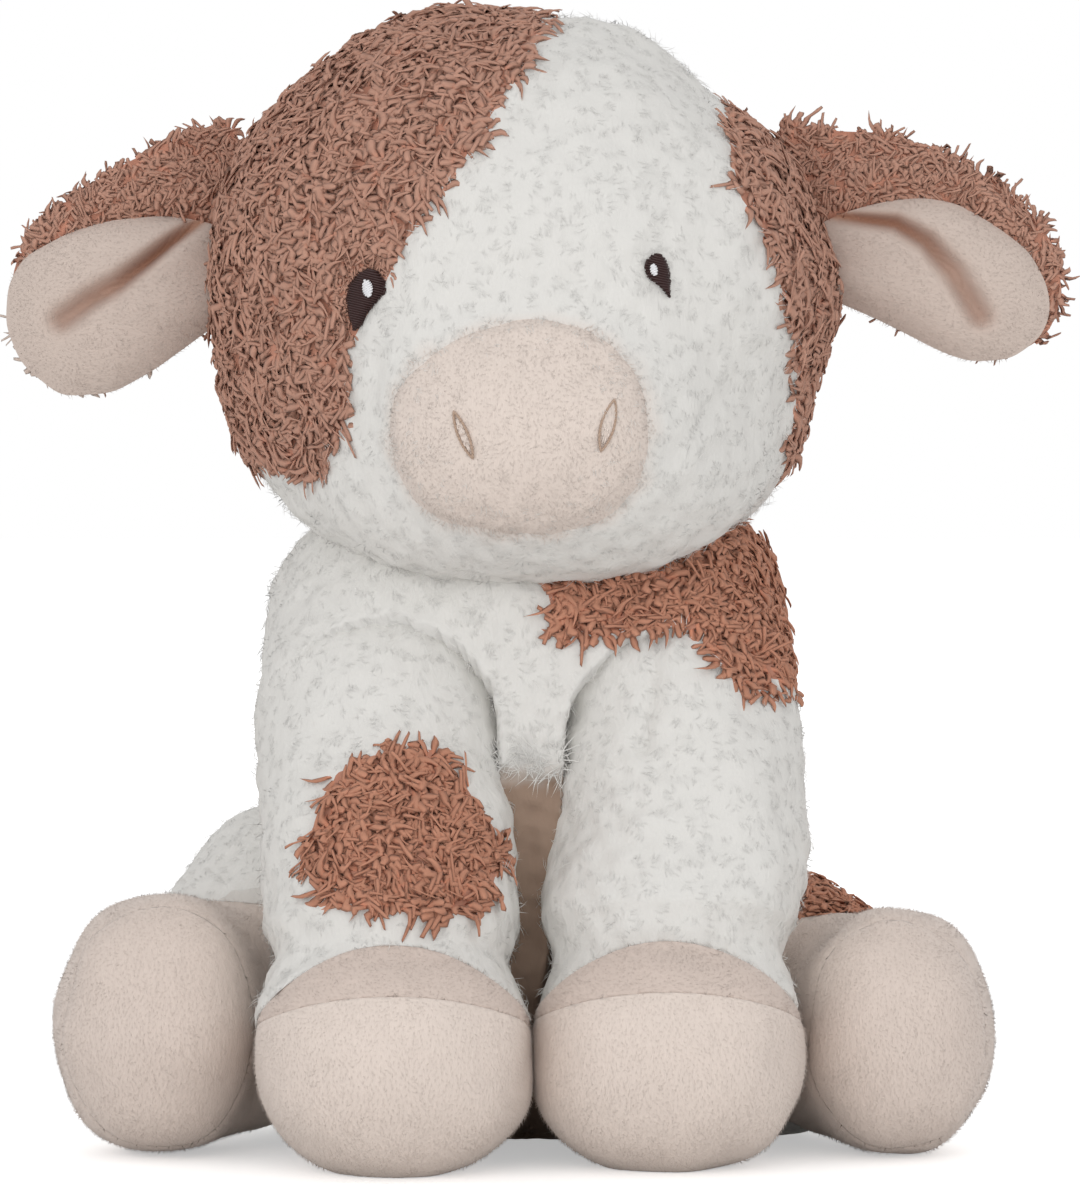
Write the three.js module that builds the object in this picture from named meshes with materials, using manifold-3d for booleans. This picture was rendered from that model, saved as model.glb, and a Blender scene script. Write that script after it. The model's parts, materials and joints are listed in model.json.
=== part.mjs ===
// A sitting plush cow: sewn fabric skins over stuffing, with an embroidered face.
// Millimetres, +Z up. The face looks along -Y, and the cow's own right side is at -X.

import * as THREE from 'three';
import { mergeVertices } from 'three/addons/utils/BufferGeometryUtils.js';
import Module from 'manifold-3d';

const wasm = await Module();
wasm.setup();

// Cloth, seams and clearances
const fabricThickness = 2;
const seamGap = 0.3;
const innerGap = 0.7;
const socketClearance = 1.2;
const groundFlat = 0.5;

// Head
const headWidth = 105;
const headDepth = 88;
const headHeight = 96;
const chinHeight = 101.5;
const headForward = 6;
const headLeft = -0.5;
const headRollDegrees = 4;
const headYawDegrees = 3;
const headTurnDegrees = 15;
const headNodDegrees = 6;
const headFullness = 2.1;
const chinFullness = 2.4;

// Neck, where the head is sewn to the torso
const neckWidth = 27;
const neckBack = 2;
const neckRise = 3.5;
const neckClearance = 0.8;

// Muzzle and nostrils
const muzzleWidth = 46.5;
const muzzleHeight = 37;
const muzzleLength = 46;
const muzzleForward = 34;
const muzzleFullness = 2.2;
const nostrilHeight = 8;
const nostrilWidth = 3.4;
const nostrilThread = 0.9;
const nostrilTiltDegrees = 17;

// Embroidered eyes
const eyeWidth = 7;
const eyeHeight = 10.5;
const eyeRelief = 1.2;
const highlightWidth = 1.8;
const highlightHeight = 2.4;
const highlightRelief = 0.7;
const eyeTiltDegrees = 12;

// Ears
const earLength = 40;
const earWidth = 37;
const earRootWidth = 29;
const earBackThickness = 3.2;
const earLiningThickness = 1.6;
const earCup = 6;
const earDroopDegrees = 18;
const earSwingDegrees = 25;
const earBack = 8;

// Torso
const torsoHeight = 118;
const chestWidth = 84;
const chestDepth = 68;
const seatWidth = 90;
const seatDepth = 76;
const seatHeight = 81;
const chestBack = 4;
const seatBack = 8;
const bodySoftening = 14;
const seatFullness = 2.1;
const chestFullness = 2.4;
const chestHeightShare = 0.64;
const pelletBagWidth = 27;
const pelletBagDepth = 44;
const pelletBagHeight = 15;

// Front legs and feet
const legWidth = 37;
const ankleWidth = 38;
const shoulderSpread = 51;
const shoulderHeight = 76;
const shoulderForward = 16;
const ankleHeight = 34;
const ankleBehindFoot = 6;
const frontFootWidth = 45.4;
const frontFootLength = 48;
const frontFootHeight = 40.5;
const frontFootGap = 0.9;
const rightFootForward = 48;
const leftFootForward = 41;
const frontFootSeamHeight = 30;
const furSeamHeight = 39;
const furSeamTiltDegrees = -15;
const frontFootSeamTiltDegrees = -11;
const legSwingDegrees = 50;
const frontFootFullness = 2.3;

// Rear legs and feet
const thighWidth = 50;
const hipSpread = 77;
const hipBack = 6;
const rearAnkleWidth = 39;
const rearFootWidth = 37.4;
const rearFootLength = 40;
const rearFootHeight = 45.5;
const rearFootForward = 28;
const rearFootGap = 1.2;
const soleDepth = 12;
const legSplayDegrees = 20;
const rearFootFullness = 2.2;

// Tail
const tailWidth = 10;
const tailRootHeight = 34;
const tailDrop = 21;
const tailReach = 9;
const tuftWidth = 14;
const tuftLength = 19;
const tailWagDegrees = 25;

// How finely the forms are faceted, round and from pole to pole
const headFacets = [20, 12];
const headInnerFacets = [12, 8];
const neckFacets = [16, 12];
const muzzleFacets = [14, 9];
const muzzleInnerFacets = [10, 7];
const torsoFacets = [18, 12];
const torsoInnerFacets = [12, 9];
const limbFacets = [14, 10];
const limbInnerFacets = [9, 7];
const limbSweepFacets = [12, 9];
const smallFacets = [10, 8];
const openingFacets = [9, 5];
const outlineSteps = 12;
const threadSides = 4;
const frontSweepSteps = 3;
const rearSweepSteps = 2;
const tailSweepSteps = 2;
const halvings = 24;

// Colours seen in the photograph
const white = { color: 0xdedbd7, roughness: 0.95 };
const brown = { color: 0xa0796a, roughness: 0.95 };
const pink = { color: 0xd8c9bf, roughness: 0.85 };
const lining = { color: 0xd9cbc1, roughness: 0.85 };
const filling = { color: 0xf0eeea, roughness: 1 };
const pelletCloth = { color: 0xe8e4dc, roughness: 0.9 };
const darkThread = { color: 0x3b2a28, roughness: 0.5 };
const lightThread = { color: 0xe9ecf2, roughness: 0.5 };
const beigeThread = { color: 0xb79c88, roughness: 0.5 };

const cow = new THREE.Group();

function addPiece(name, shape, look, parent = cow) {
  const geometry = shape.isBufferGeometry ? shape : geometryOf(shape);
  const mesh = new THREE.Mesh(geometry, new THREE.MeshStandardMaterial({ ...look, metalness: 0 }));
  mesh.name = name;
  parent.add(mesh);
  return mesh;
}

// From a closed geometry to a solid that can be cut, and back
function solidOf(geometry) {
  const bare = geometry.clone();
  bare.deleteAttribute('normal');
  bare.deleteAttribute('uv');
  const merged = mergeVertices(bare);
  return new wasm.Manifold(new wasm.Mesh({
    numProp: 3,
    vertProperties: Float32Array.from(merged.attributes.position.array),
    triVerts: Uint32Array.from(merged.index.array),
  }));
}

function geometryOf(solid) {
  const mesh = solid.getMesh();
  const geometry = new THREE.BufferGeometry();
  geometry.setAttribute('position', new THREE.BufferAttribute(mesh.vertProperties, 3));
  geometry.setIndex(new THREE.BufferAttribute(mesh.triVerts, 1));
  geometry.computeVertexNormals();
  return geometry;
}

function joinedSolids(solids) {
  return solids.reduce((all, solid) => all.add(solid));
}

// Rounded forms, each a function of a point that is below zero inside
function roundedForm(centre, radii, fullness = 2, fullnessBelow = fullness) {
  const least = Math.min(...radii);
  return (p) => {
    const [x, y, z] = p.map((value, axis) => (value - centre[axis]) / radii[axis]);
    const power = z > 0 ? fullness : fullnessBelow;
    const across = (Math.abs(x) ** fullness + Math.abs(y) ** fullness) ** (1 / fullness);
    return ((across ** power + Math.abs(z) ** power) ** (1 / power) - 1) * least;
  };
}

function taperedForm(from, to, radiusFrom, radiusTo) {
  const along = to.map((value, axis) => value - from[axis]);
  const lengthSquared = along.reduce((sum, value) => sum + value * value, 0);
  return (p) => {
    const dot = p.reduce((sum, value, axis) => sum + (value - from[axis]) * along[axis], 0);
    const share = Math.min(Math.max(dot / lengthSquared, 0), 1);
    const off = p.map((value, axis) => value - from[axis] - share * along[axis]);
    return Math.hypot(...off) - radiusFrom - share * (radiusTo - radiusFrom);
  };
}

function blendedForm(formA, formB, softening) {
  return (p) => {
    const a = formA(p);
    const b = formB(p);
    const overlap = Math.max(softening - Math.abs(a - b), 0) / softening;
    return Math.min(a, b) - overlap * overlap * softening / 4;
  };
}

function placedForm(form, matrix) {
  const inverse = matrix.clone().invert();
  return (p) => form(new THREE.Vector3(...p).applyMatrix4(inverse).toArray());
}

const unionForm = (forms) => (p) => Math.min(...forms.map((form) => form(p)));

// How far a form reaches from a centre along a direction, grown outward by a distance
function reachOf(form, centre, direction, grow) {
  const at = (t) => form(centre.map((value, axis) => value + t * direction[axis])) - grow;
  const stride = fabricThickness;
  let outer = stride;
  while (at(outer) < 0) outer += stride;
  let inner = outer - stride;
  for (let halving = 0; halving < halvings; halving += 1) {
    const middle = (inner + outer) / 2;
    if (at(middle) < 0) inner = middle;
    else outer = middle;
  }
  return inner;
}

// A closed surface round a form, with its poles up and down
function surfaceOf(form, centre, grow, segments, rings) {
  const points = [];
  const faces = [];
  const addPoint = (polar, turn) => {
    const direction = [
      Math.sin(polar) * Math.cos(turn),
      Math.sin(polar) * Math.sin(turn),
      Math.cos(polar),
    ];
    const reach = reachOf(form, centre, direction, grow);
    points.push(...direction.map((value, axis) => centre[axis] + reach * value));
  };
  addPoint(0, 0);
  for (let ring = 1; ring < rings; ring += 1) {
    for (let segment = 0; segment < segments; segment += 1) {
      addPoint(Math.PI * ring / rings, 2 * Math.PI * segment / segments);
    }
  }
  addPoint(Math.PI, 0);
  const last = points.length / 3 - 1;
  const vertex = (ring, segment) => 1 + (ring - 1) * segments + segment % segments;
  for (let segment = 0; segment < segments; segment += 1) {
    faces.push(0, vertex(1, segment), vertex(1, segment + 1));
    for (let ring = 1; ring < rings - 1; ring += 1) {
      const corner = vertex(ring, segment);
      const across = vertex(ring, segment + 1);
      const below = vertex(ring + 1, segment);
      const opposite = vertex(ring + 1, segment + 1);
      faces.push(corner, below, opposite, corner, opposite, across);
    }
    faces.push(vertex(rings - 1, segment), last, vertex(rings - 1, segment + 1));
  }
  return indexedGeometry(points, faces);
}

function indexedGeometry(points, faces) {
  const geometry = new THREE.BufferGeometry();
  geometry.setAttribute('position', new THREE.Float32BufferAttribute(points, 3));
  geometry.setIndex(faces);
  return geometry;
}

function formSolid(form, centre, grow, segments, rings) {
  return solidOf(surfaceOf(form, centre, grow, segments, rings));
}

// A form's sewn cloth, and the stuffing that fills it: both have the same facets inside
function clothOf(form, centre, outer, inner) {
  const outside = formSolid(form, centre, 0, ...outer);
  return outside.subtract(formSolid(form, centre, -fabricThickness, ...inner));
}

function stuffingOf(form, centre, inner) {
  return formSolid(form, centre, -fabricThickness - innerGap, ...inner);
}

// The largest body of a solid, without the slivers that crossing cuts leave
function wholeOf(solid) {
  const bodies = solid.decompose();
  return bodies.reduce((largest, body) => (body.volume() > largest.volume() ? body : largest));
}

function boxSolid(width, depth, height, x, y, z, tiltDegrees = 0) {
  const box = new THREE.BoxGeometry(width, depth, height);
  box.translate(0, 0, height / 2);
  box.rotateX(THREE.MathUtils.degToRad(tiltDegrees));
  box.translate(x, y, z);
  return solidOf(box);
}

const cutterSize = 2 * (torsoHeight + headHeight);
const ground = boxSolid(cutterSize, cutterSize, cutterSize, 0, 0, -cutterSize);

// The half of space above a plane that rises towards the front, or below it
function aboveSeam(y, z, tiltDegrees) {
  return boxSolid(cutterSize, cutterSize, cutterSize, 0, y, z, tiltDegrees);
}

function belowSeam(y, z, tiltDegrees) {
  return boxSolid(cutterSize, cutterSize, cutterSize, 0, y, z, tiltDegrees + 180);
}

// A patch's outline in front view, run from front to back
function patchCutter(outline, grow, front, back) {
  const shape = new THREE.Shape(grownOutline(outline, grow));
  const prism = new THREE.ExtrudeGeometry(shape, { depth: back - front, bevelEnabled: false });
  prism.rotateX(Math.PI / 2);
  prism.translate(0, back, 0);
  return solidOf(prism);
}

function grownOutline(outline, grow) {
  const count = outline.length;
  return outline.map(([x, z], index) => {
    const [beforeX, beforeZ] = outline[(index + count - 1) % count];
    const [afterX, afterZ] = outline[(index + 1) % count];
    const tangent = new THREE.Vector2(afterX - beforeX, afterZ - beforeZ).normalize();
    return new THREE.Vector2(x + grow * tangent.y, z - grow * tangent.x);
  });
}

function outlineFrom(shares, width, height, x = 0, z = 0) {
  const outline = shares.map(([across, up]) => [x + across * width, z + up * height]);
  const area = outline.reduce((sum, [ax, az], index) => {
    const [bx, bz] = outline[(index + 1) % outline.length];
    return sum + ax * bz - bx * az;
  }, 0);
  return area < 0 ? outline.reverse() : outline;
}

// A thin domed piece laid on a form's front, inside an outline
function laidPiece(form, outline, lift, relief) {
  const rings = 2;
  const middle = [0, 1].map((axis) => outline.reduce((sum, p) => sum + p[axis], 0) / outline.length);
  const points = [];
  const faces = [];
  const count = outline.length;
  const addPoint = (x, z, rise) => points.push(x, frontOf(form, x, z) - lift - rise, z);
  for (const dome of [relief, 0]) {
    addPoint(middle[0], middle[1], dome);
    for (let ring = 1; ring < rings; ring += 1) {
      const share = ring / rings;
      for (const [x, z] of outline) {
        const rise = dome * Math.sqrt(1 - share * share * share);
        addPoint(middle[0] + share * (x - middle[0]), middle[1] + share * (z - middle[1]), rise);
      }
    }
  }
  const face = 1 + (rings - 1) * count;
  outline.forEach(([x, z]) => addPoint(x, z, 0));
  const vertex = (side, ring, index) => {
    if (ring === rings) return 2 * face + index % count;
    return ring === 0 ? side * face : side * face + 1 + (ring - 1) * count + index % count;
  };
  for (const side of [0, 1]) {
    for (let index = 0; index < count; index += 1) {
      for (let ring = 0; ring < rings; ring += 1) {
        const a = vertex(side, ring, index);
        const b = vertex(side, ring, index + 1);
        const c = vertex(side, ring + 1, index);
        const d = vertex(side, ring + 1, index + 1);
        const corners = ring === 0 ? [a, c, d] : [a, c, d, a, d, b];
        faces.push(...(side === 0 ? corners : corners.reverse()));
      }
    }
  }
  return indexedGeometry(points, faces);
}

function frontOf(form, x, z) {
  let y = -headDepth;
  while (form([x, y, z]) > 0) y += fabricThickness / 2;
  let outside = y - fabricThickness / 2;
  for (let halving = 0; halving < halvings; halving += 1) {
    const middle = (outside + y) / 2;
    if (form([x, middle, z]) > 0) outside = middle;
    else y = middle;
  }
  return y;
}

// A closed loop of thread along a list of points
function threadLoop(path, radius, sides) {
  const points = [];
  const faces = [];
  const count = path.length;
  path.forEach((point, index) => {
    const before = path[(index + count - 1) % count];
    const after = path[(index + 1) % count];
    const along = new THREE.Vector3().subVectors(after, before).normalize();
    const out = new THREE.Vector3(0, -1, 0).addScaledVector(along, along.y).normalize();
    const across = new THREE.Vector3().crossVectors(along, out);
    for (let side = 0; side < sides; side += 1) {
      const turn = 2 * Math.PI * side / sides;
      const at = point.clone().addScaledVector(across, radius * Math.cos(turn));
      at.addScaledVector(out, radius * Math.sin(turn));
      points.push(at.x, at.y, at.z);
    }
  });
  for (let index = 0; index < count; index += 1) {
    for (let side = 0; side < sides; side += 1) {
      const a = index * sides + side;
      const b = index * sides + (side + 1) % sides;
      const c = ((index + 1) % count) * sides + side;
      const d = ((index + 1) % count) * sides + (side + 1) % sides;
      faces.push(a, d, b, a, c, d);
    }
  }
  return indexedGeometry(points, faces);
}

function turnedAbout(geometry, pivot, axis, degrees) {
  return geometry.clone().applyMatrix4(turnMatrix(pivot, axis, degrees));
}

function turnMatrix(pivot, axis, degrees) {
  const at = new THREE.Vector3(...pivot);
  const turn = new THREE.Matrix4().makeRotationAxis(axis, THREE.MathUtils.degToRad(degrees));
  const there = new THREE.Matrix4().makeTranslation(at.x, at.y, at.z);
  const back = new THREE.Matrix4().makeTranslation(-at.x, -at.y, -at.z);
  return there.multiply(turn).multiply(back);
}

const axisX = new THREE.Vector3(1, 0, 0);
const axisZ = new THREE.Vector3(0, 0, 1);

// The head's own frame: centred on it, tilted a little and looking a little to its right
const headRadii = [headWidth / 2, headDepth / 2, headHeight / 2];
const headCentre = [headLeft, -headForward, chinHeight + headHeight / 2];
const head = new THREE.Group();
head.position.set(...headCentre);
head.rotation.set(
  0,
  -THREE.MathUtils.degToRad(headRollDegrees),
  -THREE.MathUtils.degToRad(headYawDegrees),
);
head.updateMatrix();
cow.add(head);
const intoHead = head.matrix.clone().invert();

const headForm = roundedForm([0, 0, 0], headRadii, headFullness, chinFullness);
const neckPivot = [0, neckBack, chinHeight + neckRise];
const neckForm = roundedForm(neckPivot, [neckWidth / 2, neckWidth / 2, neckWidth / 2]);
const neckInHead = new THREE.Vector3(...neckPivot).applyMatrix4(intoHead).toArray();
const neckInHeadForm = roundedForm(neckInHead, [neckWidth / 2, neckWidth / 2, neckWidth / 2]);

// The space that the head sweeps through, which the torso's top leaves free
const headSweepForms = [];
for (const turn of [-headTurnDegrees, 0, headTurnDegrees]) {
  for (const nod of [-headNodDegrees, 0, headNodDegrees]) {
    const pose = turnMatrix(neckPivot, axisZ, turn).multiply(turnMatrix(neckPivot, axisX, nod));
    headSweepForms.push(placedForm(headForm, pose.multiply(head.matrix)));
  }
}
const headSweepForm = unionForm(headSweepForms);

// Head, as face panel, side patches and stuffing
const headOrigin = [0, 0, 0];
const rightPatchShares = [
  [0.12, 1.3], [0.12, 0.94], [0.05, 0.78], [-0.02, 0.64], [-0.12, 0.46], [-0.22, 0.33],
  [-0.31, 0.18], [-0.38, 0.02], [-0.46, -0.07], [-0.54, -0.18], [-0.57, -0.35], [-0.62, -0.49],
  [-0.68, -0.6], [-0.85, -0.58], [-1.3, -0.4], [-1.3, 1.3],
];
const leftPatchShares = [
  [1.3, 0.66], [0.74, 0.62], [0.71, 0.55], [0.72, 0.41], [0.74, 0.27], [0.8, 0.17], [0.83, 0.04],
  [0.86, -0.1], [0.88, -0.25], [0.88, -0.39], [0.86, -0.54], [0.83, -0.66], [1.3, -0.66],
];
const muzzleAcrossShare = 0.01;
const muzzleUpShare = -0.48;
const muzzleCentre = [
  muzzleAcrossShare * headWidth, -muzzleForward, muzzleUpShare * headHeight / 2,
];
const muzzleRadii = [muzzleWidth / 2, muzzleLength / 2, muzzleHeight / 2];
const muzzleForm = roundedForm(muzzleCentre, muzzleRadii, muzzleFullness);

const headOutside = formSolid(headForm, headOrigin, seamGap, ...headFacets);
const headStuffing = stuffingOf(headForm, headOrigin, headInnerFacets);
const neckSocketInHead = formSolid(neckInHeadForm, neckInHead, neckClearance, ...neckFacets);
const muzzleFilling = stuffingOf(muzzleForm, muzzleCentre, muzzleInnerFacets);
const muzzleOpening = formSolid(
  muzzleForm, muzzleCentre, -fabricThickness, ...muzzleInnerFacets,
);
const rightPatchOutline = outlineFrom(rightPatchShares, headWidth / 2, headHeight / 2);
const leftPatchOutline = outlineFrom(leftPatchShares, headWidth / 2, headHeight / 2);
const headCloth = clothOf(headForm, headOrigin, headFacets, headInnerFacets).subtract(neckSocketInHead);

addPiece('head_stuffing', headStuffing.subtract(neckSocketInHead), filling, head);
addPiece('face_panel', headCloth
  .subtract(patchCutter(rightPatchOutline, seamGap, -headDepth, headDepth))
  .subtract(patchCutter(leftPatchOutline, seamGap, -headDepth, headDepth))
  .subtract(muzzleOpening), white, head);
addPiece('head_patch_right', headCloth
  .intersect(patchCutter(rightPatchOutline, 0, -headDepth, headDepth)), brown, head);
addPiece('head_patch_left', headCloth
  .intersect(patchCutter(leftPatchOutline, 0, -headDepth, headDepth)), brown, head);

// Muzzle
const headStuffingRoom = formSolid(
  headForm, headOrigin, seamGap - fabricThickness - innerGap, ...headInnerFacets,
);
addPiece('muzzle_panel', clothOf(muzzleForm, muzzleCentre, muzzleFacets, muzzleInnerFacets)
  .subtract(headOutside), pink, head);
addPiece('muzzle_stuffing', muzzleFilling.subtract(headStuffingRoom), filling, head);

// Nostrils: an oval outline in thread on each side of the muzzle
const nostrilAcrossShare = 0.26;
const nostrilUpShare = -0.03;
for (const [side, name] of [[-1, 'nostril_right'], [1, 'nostril_left']]) {
  const path = [];
  for (let step = 0; step < outlineSteps; step += 1) {
    const turn = 2 * Math.PI * step / outlineSteps;
    const tilt = -side * THREE.MathUtils.degToRad(nostrilTiltDegrees);
    const across = nostrilWidth / 2 * Math.cos(turn);
    const up = nostrilHeight / 2 * Math.sin(turn);
    const centreX = muzzleCentre[0] + side * nostrilAcrossShare * muzzleWidth;
    const x = centreX + across * Math.cos(tilt) - up * Math.sin(tilt);
    const z = muzzleCentre[2] + nostrilUpShare * muzzleHeight
      + across * Math.sin(tilt) + up * Math.cos(tilt);
    path.push(new THREE.Vector3(x, frontOf(muzzleForm, x, z) - nostrilThread / 2 - seamGap, z));
  }
  addPiece(name, threadLoop(path, nostrilThread / 2, threadSides), beigeThread, head);
}

// Eyes: a raised oval of satin stitch with a small highlight
const eyeAcrossShare = 0.46;
const eyeUpShare = 0.03;

function oval(x, z, width, height, tiltDegrees) {
  const tilt = THREE.MathUtils.degToRad(tiltDegrees);
  const points = [];
  for (let step = 0; step < outlineSteps; step += 1) {
    const turn = 2 * Math.PI * step / outlineSteps;
    const across = width / 2 * Math.cos(turn);
    const up = height / 2 * Math.sin(turn);
    points.push([
      x + across * Math.cos(tilt) - up * Math.sin(tilt),
      z + across * Math.sin(tilt) + up * Math.cos(tilt),
    ]);
  }
  return points;
}

for (const [side, name] of [[-1, 'right'], [1, 'left']]) {
  const eyeX = side * eyeAcrossShare * headWidth / 2;
  const eyeZ = eyeUpShare * headHeight / 2;
  const eye = oval(eyeX, eyeZ, eyeWidth, eyeHeight, side * eyeTiltDegrees);
  addPiece(`eye_${name}`, laidPiece(headForm, eye, 2 * seamGap, eyeRelief), darkThread, head);
  const shineX = eyeX + highlightWidth / 4;
  const shineZ = eyeZ + eyeHeight / 8;
  const shine = oval(shineX, shineZ, highlightWidth, highlightHeight, 0);
  const shineLift = 2 * seamGap + eyeRelief + seamGap;
  addPiece(
    `eye_highlight_${name}`,
    laidPiece(headForm, shine, shineLift, highlightRelief),
    lightThread,
    head,
  );
}

// Ears: a furry back and a short-pile lining, cupped, each hinged on its sewn root
const earSegments = 16;
const earRings = 3;
const earRootShare = earRootWidth / earWidth;
const earSquareness = 0.8;
const earWidestShare = 0.62;

function earOutline(turn, inset) {
  const length = earLength / 2 - inset;
  const cosine = Math.cos(turn);
  const sine = Math.sin(turn);
  const x = earLength / 2 + length * Math.sign(cosine) * Math.abs(cosine) ** earSquareness;
  const swell = Math.sin(Math.PI / 2 * Math.min(x / earLength / earWidestShare, 1));
  const half = (earWidth / 2 - inset) * (earRootShare + (1 - earRootShare) * swell);
  return [x, half * Math.sign(sine) * Math.abs(sine) ** earSquareness];
}

function earLayer(frontDepth, backDepth, inset) {
  const points = [];
  const faces = [];
  const middle = earLength / 2;
  const addPoint = (x, z, share, depth) => {
    const rim = Math.sqrt(Math.max(1 - share ** 4, 0));
    const cup = earCup * (1 - (2 * z / earWidth) ** 2) * Math.sin(Math.PI * x / earLength);
    points.push(x, cup + depth * rim, z);
  };
  for (const depth of [frontDepth, backDepth]) {
    addPoint(middle, 0, 0, depth);
    for (let ring = 1; ring < earRings; ring += 1) {
      for (let segment = 0; segment < earSegments; segment += 1) {
        const [x, z] = earOutline(2 * Math.PI * segment / earSegments, inset);
        const share = ring / earRings;
        addPoint(middle + share * (x - middle), share * z, share, depth);
      }
    }
  }
  const sideCount = 1 + (earRings - 1) * earSegments;
  for (let segment = 0; segment < earSegments; segment += 1) {
    const [x, z] = earOutline(2 * Math.PI * segment / earSegments, inset);
    addPoint(x, z, 1, 0);
    points[points.length - 2] += (frontDepth + backDepth) / 2;
  }
  const vertex = (side, ring, segment) => {
    if (ring === earRings) return 2 * sideCount + segment % earSegments;
    const start = side * sideCount;
    return ring === 0 ? start : start + 1 + (ring - 1) * earSegments + segment % earSegments;
  };
  for (const side of [0, 1]) {
    for (let segment = 0; segment < earSegments; segment += 1) {
      for (let ring = 0; ring < earRings; ring += 1) {
        const a = vertex(side, ring, segment);
        const b = vertex(side, ring, segment + 1);
        const c = vertex(side, ring + 1, segment);
        const d = vertex(side, ring + 1, segment + 1);
        const corners = ring === 0 ? [a, c, d] : [a, c, d, a, d, b];
        faces.push(...(side === 0 ? corners : corners.reverse()));
      }
    }
  }
  return indexedGeometry(points, faces);
}

const earBackLayer = earLayer(0, earBackThickness, 0);
const earLiningLayer = earLayer(-earLiningThickness - seamGap, -seamGap, earLiningThickness);
const earUpShare = 0.22;
const earUp = earUpShare * headHeight / 2;
const earRootOut = reachOf(
  (p) => headForm([p[0], earBack, earUp]), [0, earBack, earUp], [1, 0, 0], -earBackThickness / 2,
);

for (const [side, name] of [[-1, 'right'], [1, 'left']]) {
  const place = new THREE.Matrix4().makeTranslation(side * earRootOut, earBack, earUp);
  const droop = new THREE.Matrix4().makeRotationY(side * THREE.MathUtils.degToRad(earDroopDegrees));
  place.multiply(droop).multiply(new THREE.Matrix4().makeScale(side, 1, 1));
  const root = [side * earRootOut, earBack, earUp];
  const hinge = new THREE.Vector3(0, 0, 1).applyMatrix4(droop);
  const headPoses = [-earSwingDegrees, 0, earSwingDegrees].map((degrees) => solidOf(
    turnedAbout(surfaceOf(headForm, headOrigin, seamGap, ...headFacets), root, hinge, degrees),
  ));
  const headClear = joinedSolids(headPoses);
  const mirrored = (layer) => {
    const geometry = layer.clone().applyMatrix4(place);
    if (side < 0) geometry.index.array.reverse();
    return solidOf(geometry).subtract(headClear);
  };
  addPiece(`ear_back_${name}`, mirrored(earBackLayer), brown, head);
  addPiece(`ear_lining_${name}`, mirrored(earLiningLayer), lining, head);
}

// Neck stuffing, round, so that the head turns and nods on it
addPiece('neck_stuffing', formSolid(neckForm, neckPivot, 0, ...neckFacets), filling);

// Torso form: a wide seat under a full chest
const seatRadii = [seatWidth / 2, seatDepth / 2, seatHeight / 2];
const seatCentre = [0, seatBack, seatHeight / 2 - groundFlat];
const chestHeight = torsoHeight * chestHeightShare;
const chestRadii = [chestWidth / 2, chestDepth / 2, chestHeight / 2];
const chestCentre = [0, chestBack, torsoHeight - chestHeight / 2];
const torsoForm = blendedForm(
  roundedForm(seatCentre, seatRadii, seatFullness),
  roundedForm(chestCentre, chestRadii, chestFullness),
  bodySoftening,
);
const torsoCentre = [0, seatBack, torsoHeight / 2];

// Front legs, each one form from shoulder to toe
const shoulders = {};
const frontLegForms = {};
const frontLegCentres = {};
for (const [side, name, forward] of [[-1, 'right', rightFootForward], [1, 'left', leftFootForward]]) {
  const footX = side * (frontFootWidth + frontFootGap) / 2;
  const shoulder = [side * shoulderSpread / 2, -shoulderForward, shoulderHeight];
  const ankle = [footX, ankleBehindFoot - forward, ankleHeight];
  const foot = [footX, -forward, frontFootHeight / 2 - groundFlat];
  const footRadii = [frontFootWidth / 2, frontFootLength / 2, frontFootHeight / 2];
  shoulders[name] = shoulder;
  frontLegCentres[name] = [footX, ankle[1], (shoulderHeight + ankleHeight) / 2 - ankleHeight / 4];
  frontLegForms[name] = blendedForm(
    taperedForm(shoulder, ankle, legWidth / 2, ankleWidth / 2),
    roundedForm(foot, footRadii, frontFootFullness),
    ankleBehindFoot / 2,
  );
}

// Rear legs, each one form from hip to sole
const hips = {};
const rearLegForms = {};
const rearLegCentres = {};
for (const [side, name] of [[-1, 'right'], [1, 'left']]) {
  const footX = side * (frontFootWidth + frontFootGap / 2 + rearFootGap + rearFootWidth / 2 - frontFootGap);
  const hip = [side * hipSpread / 2, hipBack, thighWidth / 2 - groundFlat];
  const ankle = [footX, -rearFootForward + rearFootLength / 4, rearAnkleWidth / 2];
  const foot = [footX, -rearFootForward, rearFootHeight / 2 - groundFlat];
  const footRadii = [rearFootWidth / 2, rearFootLength / 2, rearFootHeight / 2];
  hips[name] = hip;
  rearLegCentres[name] = hip.map((value, axis) => (value + foot[axis]) / 2);
  rearLegForms[name] = blendedForm(
    taperedForm(hip, ankle, thighWidth / 2, rearAnkleWidth / 2),
    roundedForm(foot, footRadii, rearFootFullness),
    ankleBehindFoot,
  );
}

// The space that a limb sweeps through over its range
function limbSweep(form, centre, clearance, facets, pivot, axis, startDegrees, endDegrees, steps) {
  const surface = surfaceOf(form, centre, clearance, ...facets);
  const poses = [];
  for (let step = 0; step <= steps; step += 1) {
    const degrees = startDegrees + (endDegrees - startDegrees) * step / steps;
    poses.push(solidOf(turnedAbout(surface, pivot, axis, degrees)));
  }
  return joinedSolids(poses);
}

function frontSweep(name, clearance, facets) {
  return limbSweep(
    frontLegForms[name], frontLegCentres[name], clearance, facets,
    shoulders[name], axisX, 0, -legSwingDegrees, frontSweepSteps,
  );
}

function rearSweep(name, clearance, facets) {
  const splay = name === 'right' ? -legSplayDegrees : legSplayDegrees;
  return limbSweep(
    rearLegForms[name], rearLegCentres[name], clearance, facets,
    hips[name], axisZ, 0, splay, rearSweepSteps,
  );
}

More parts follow.
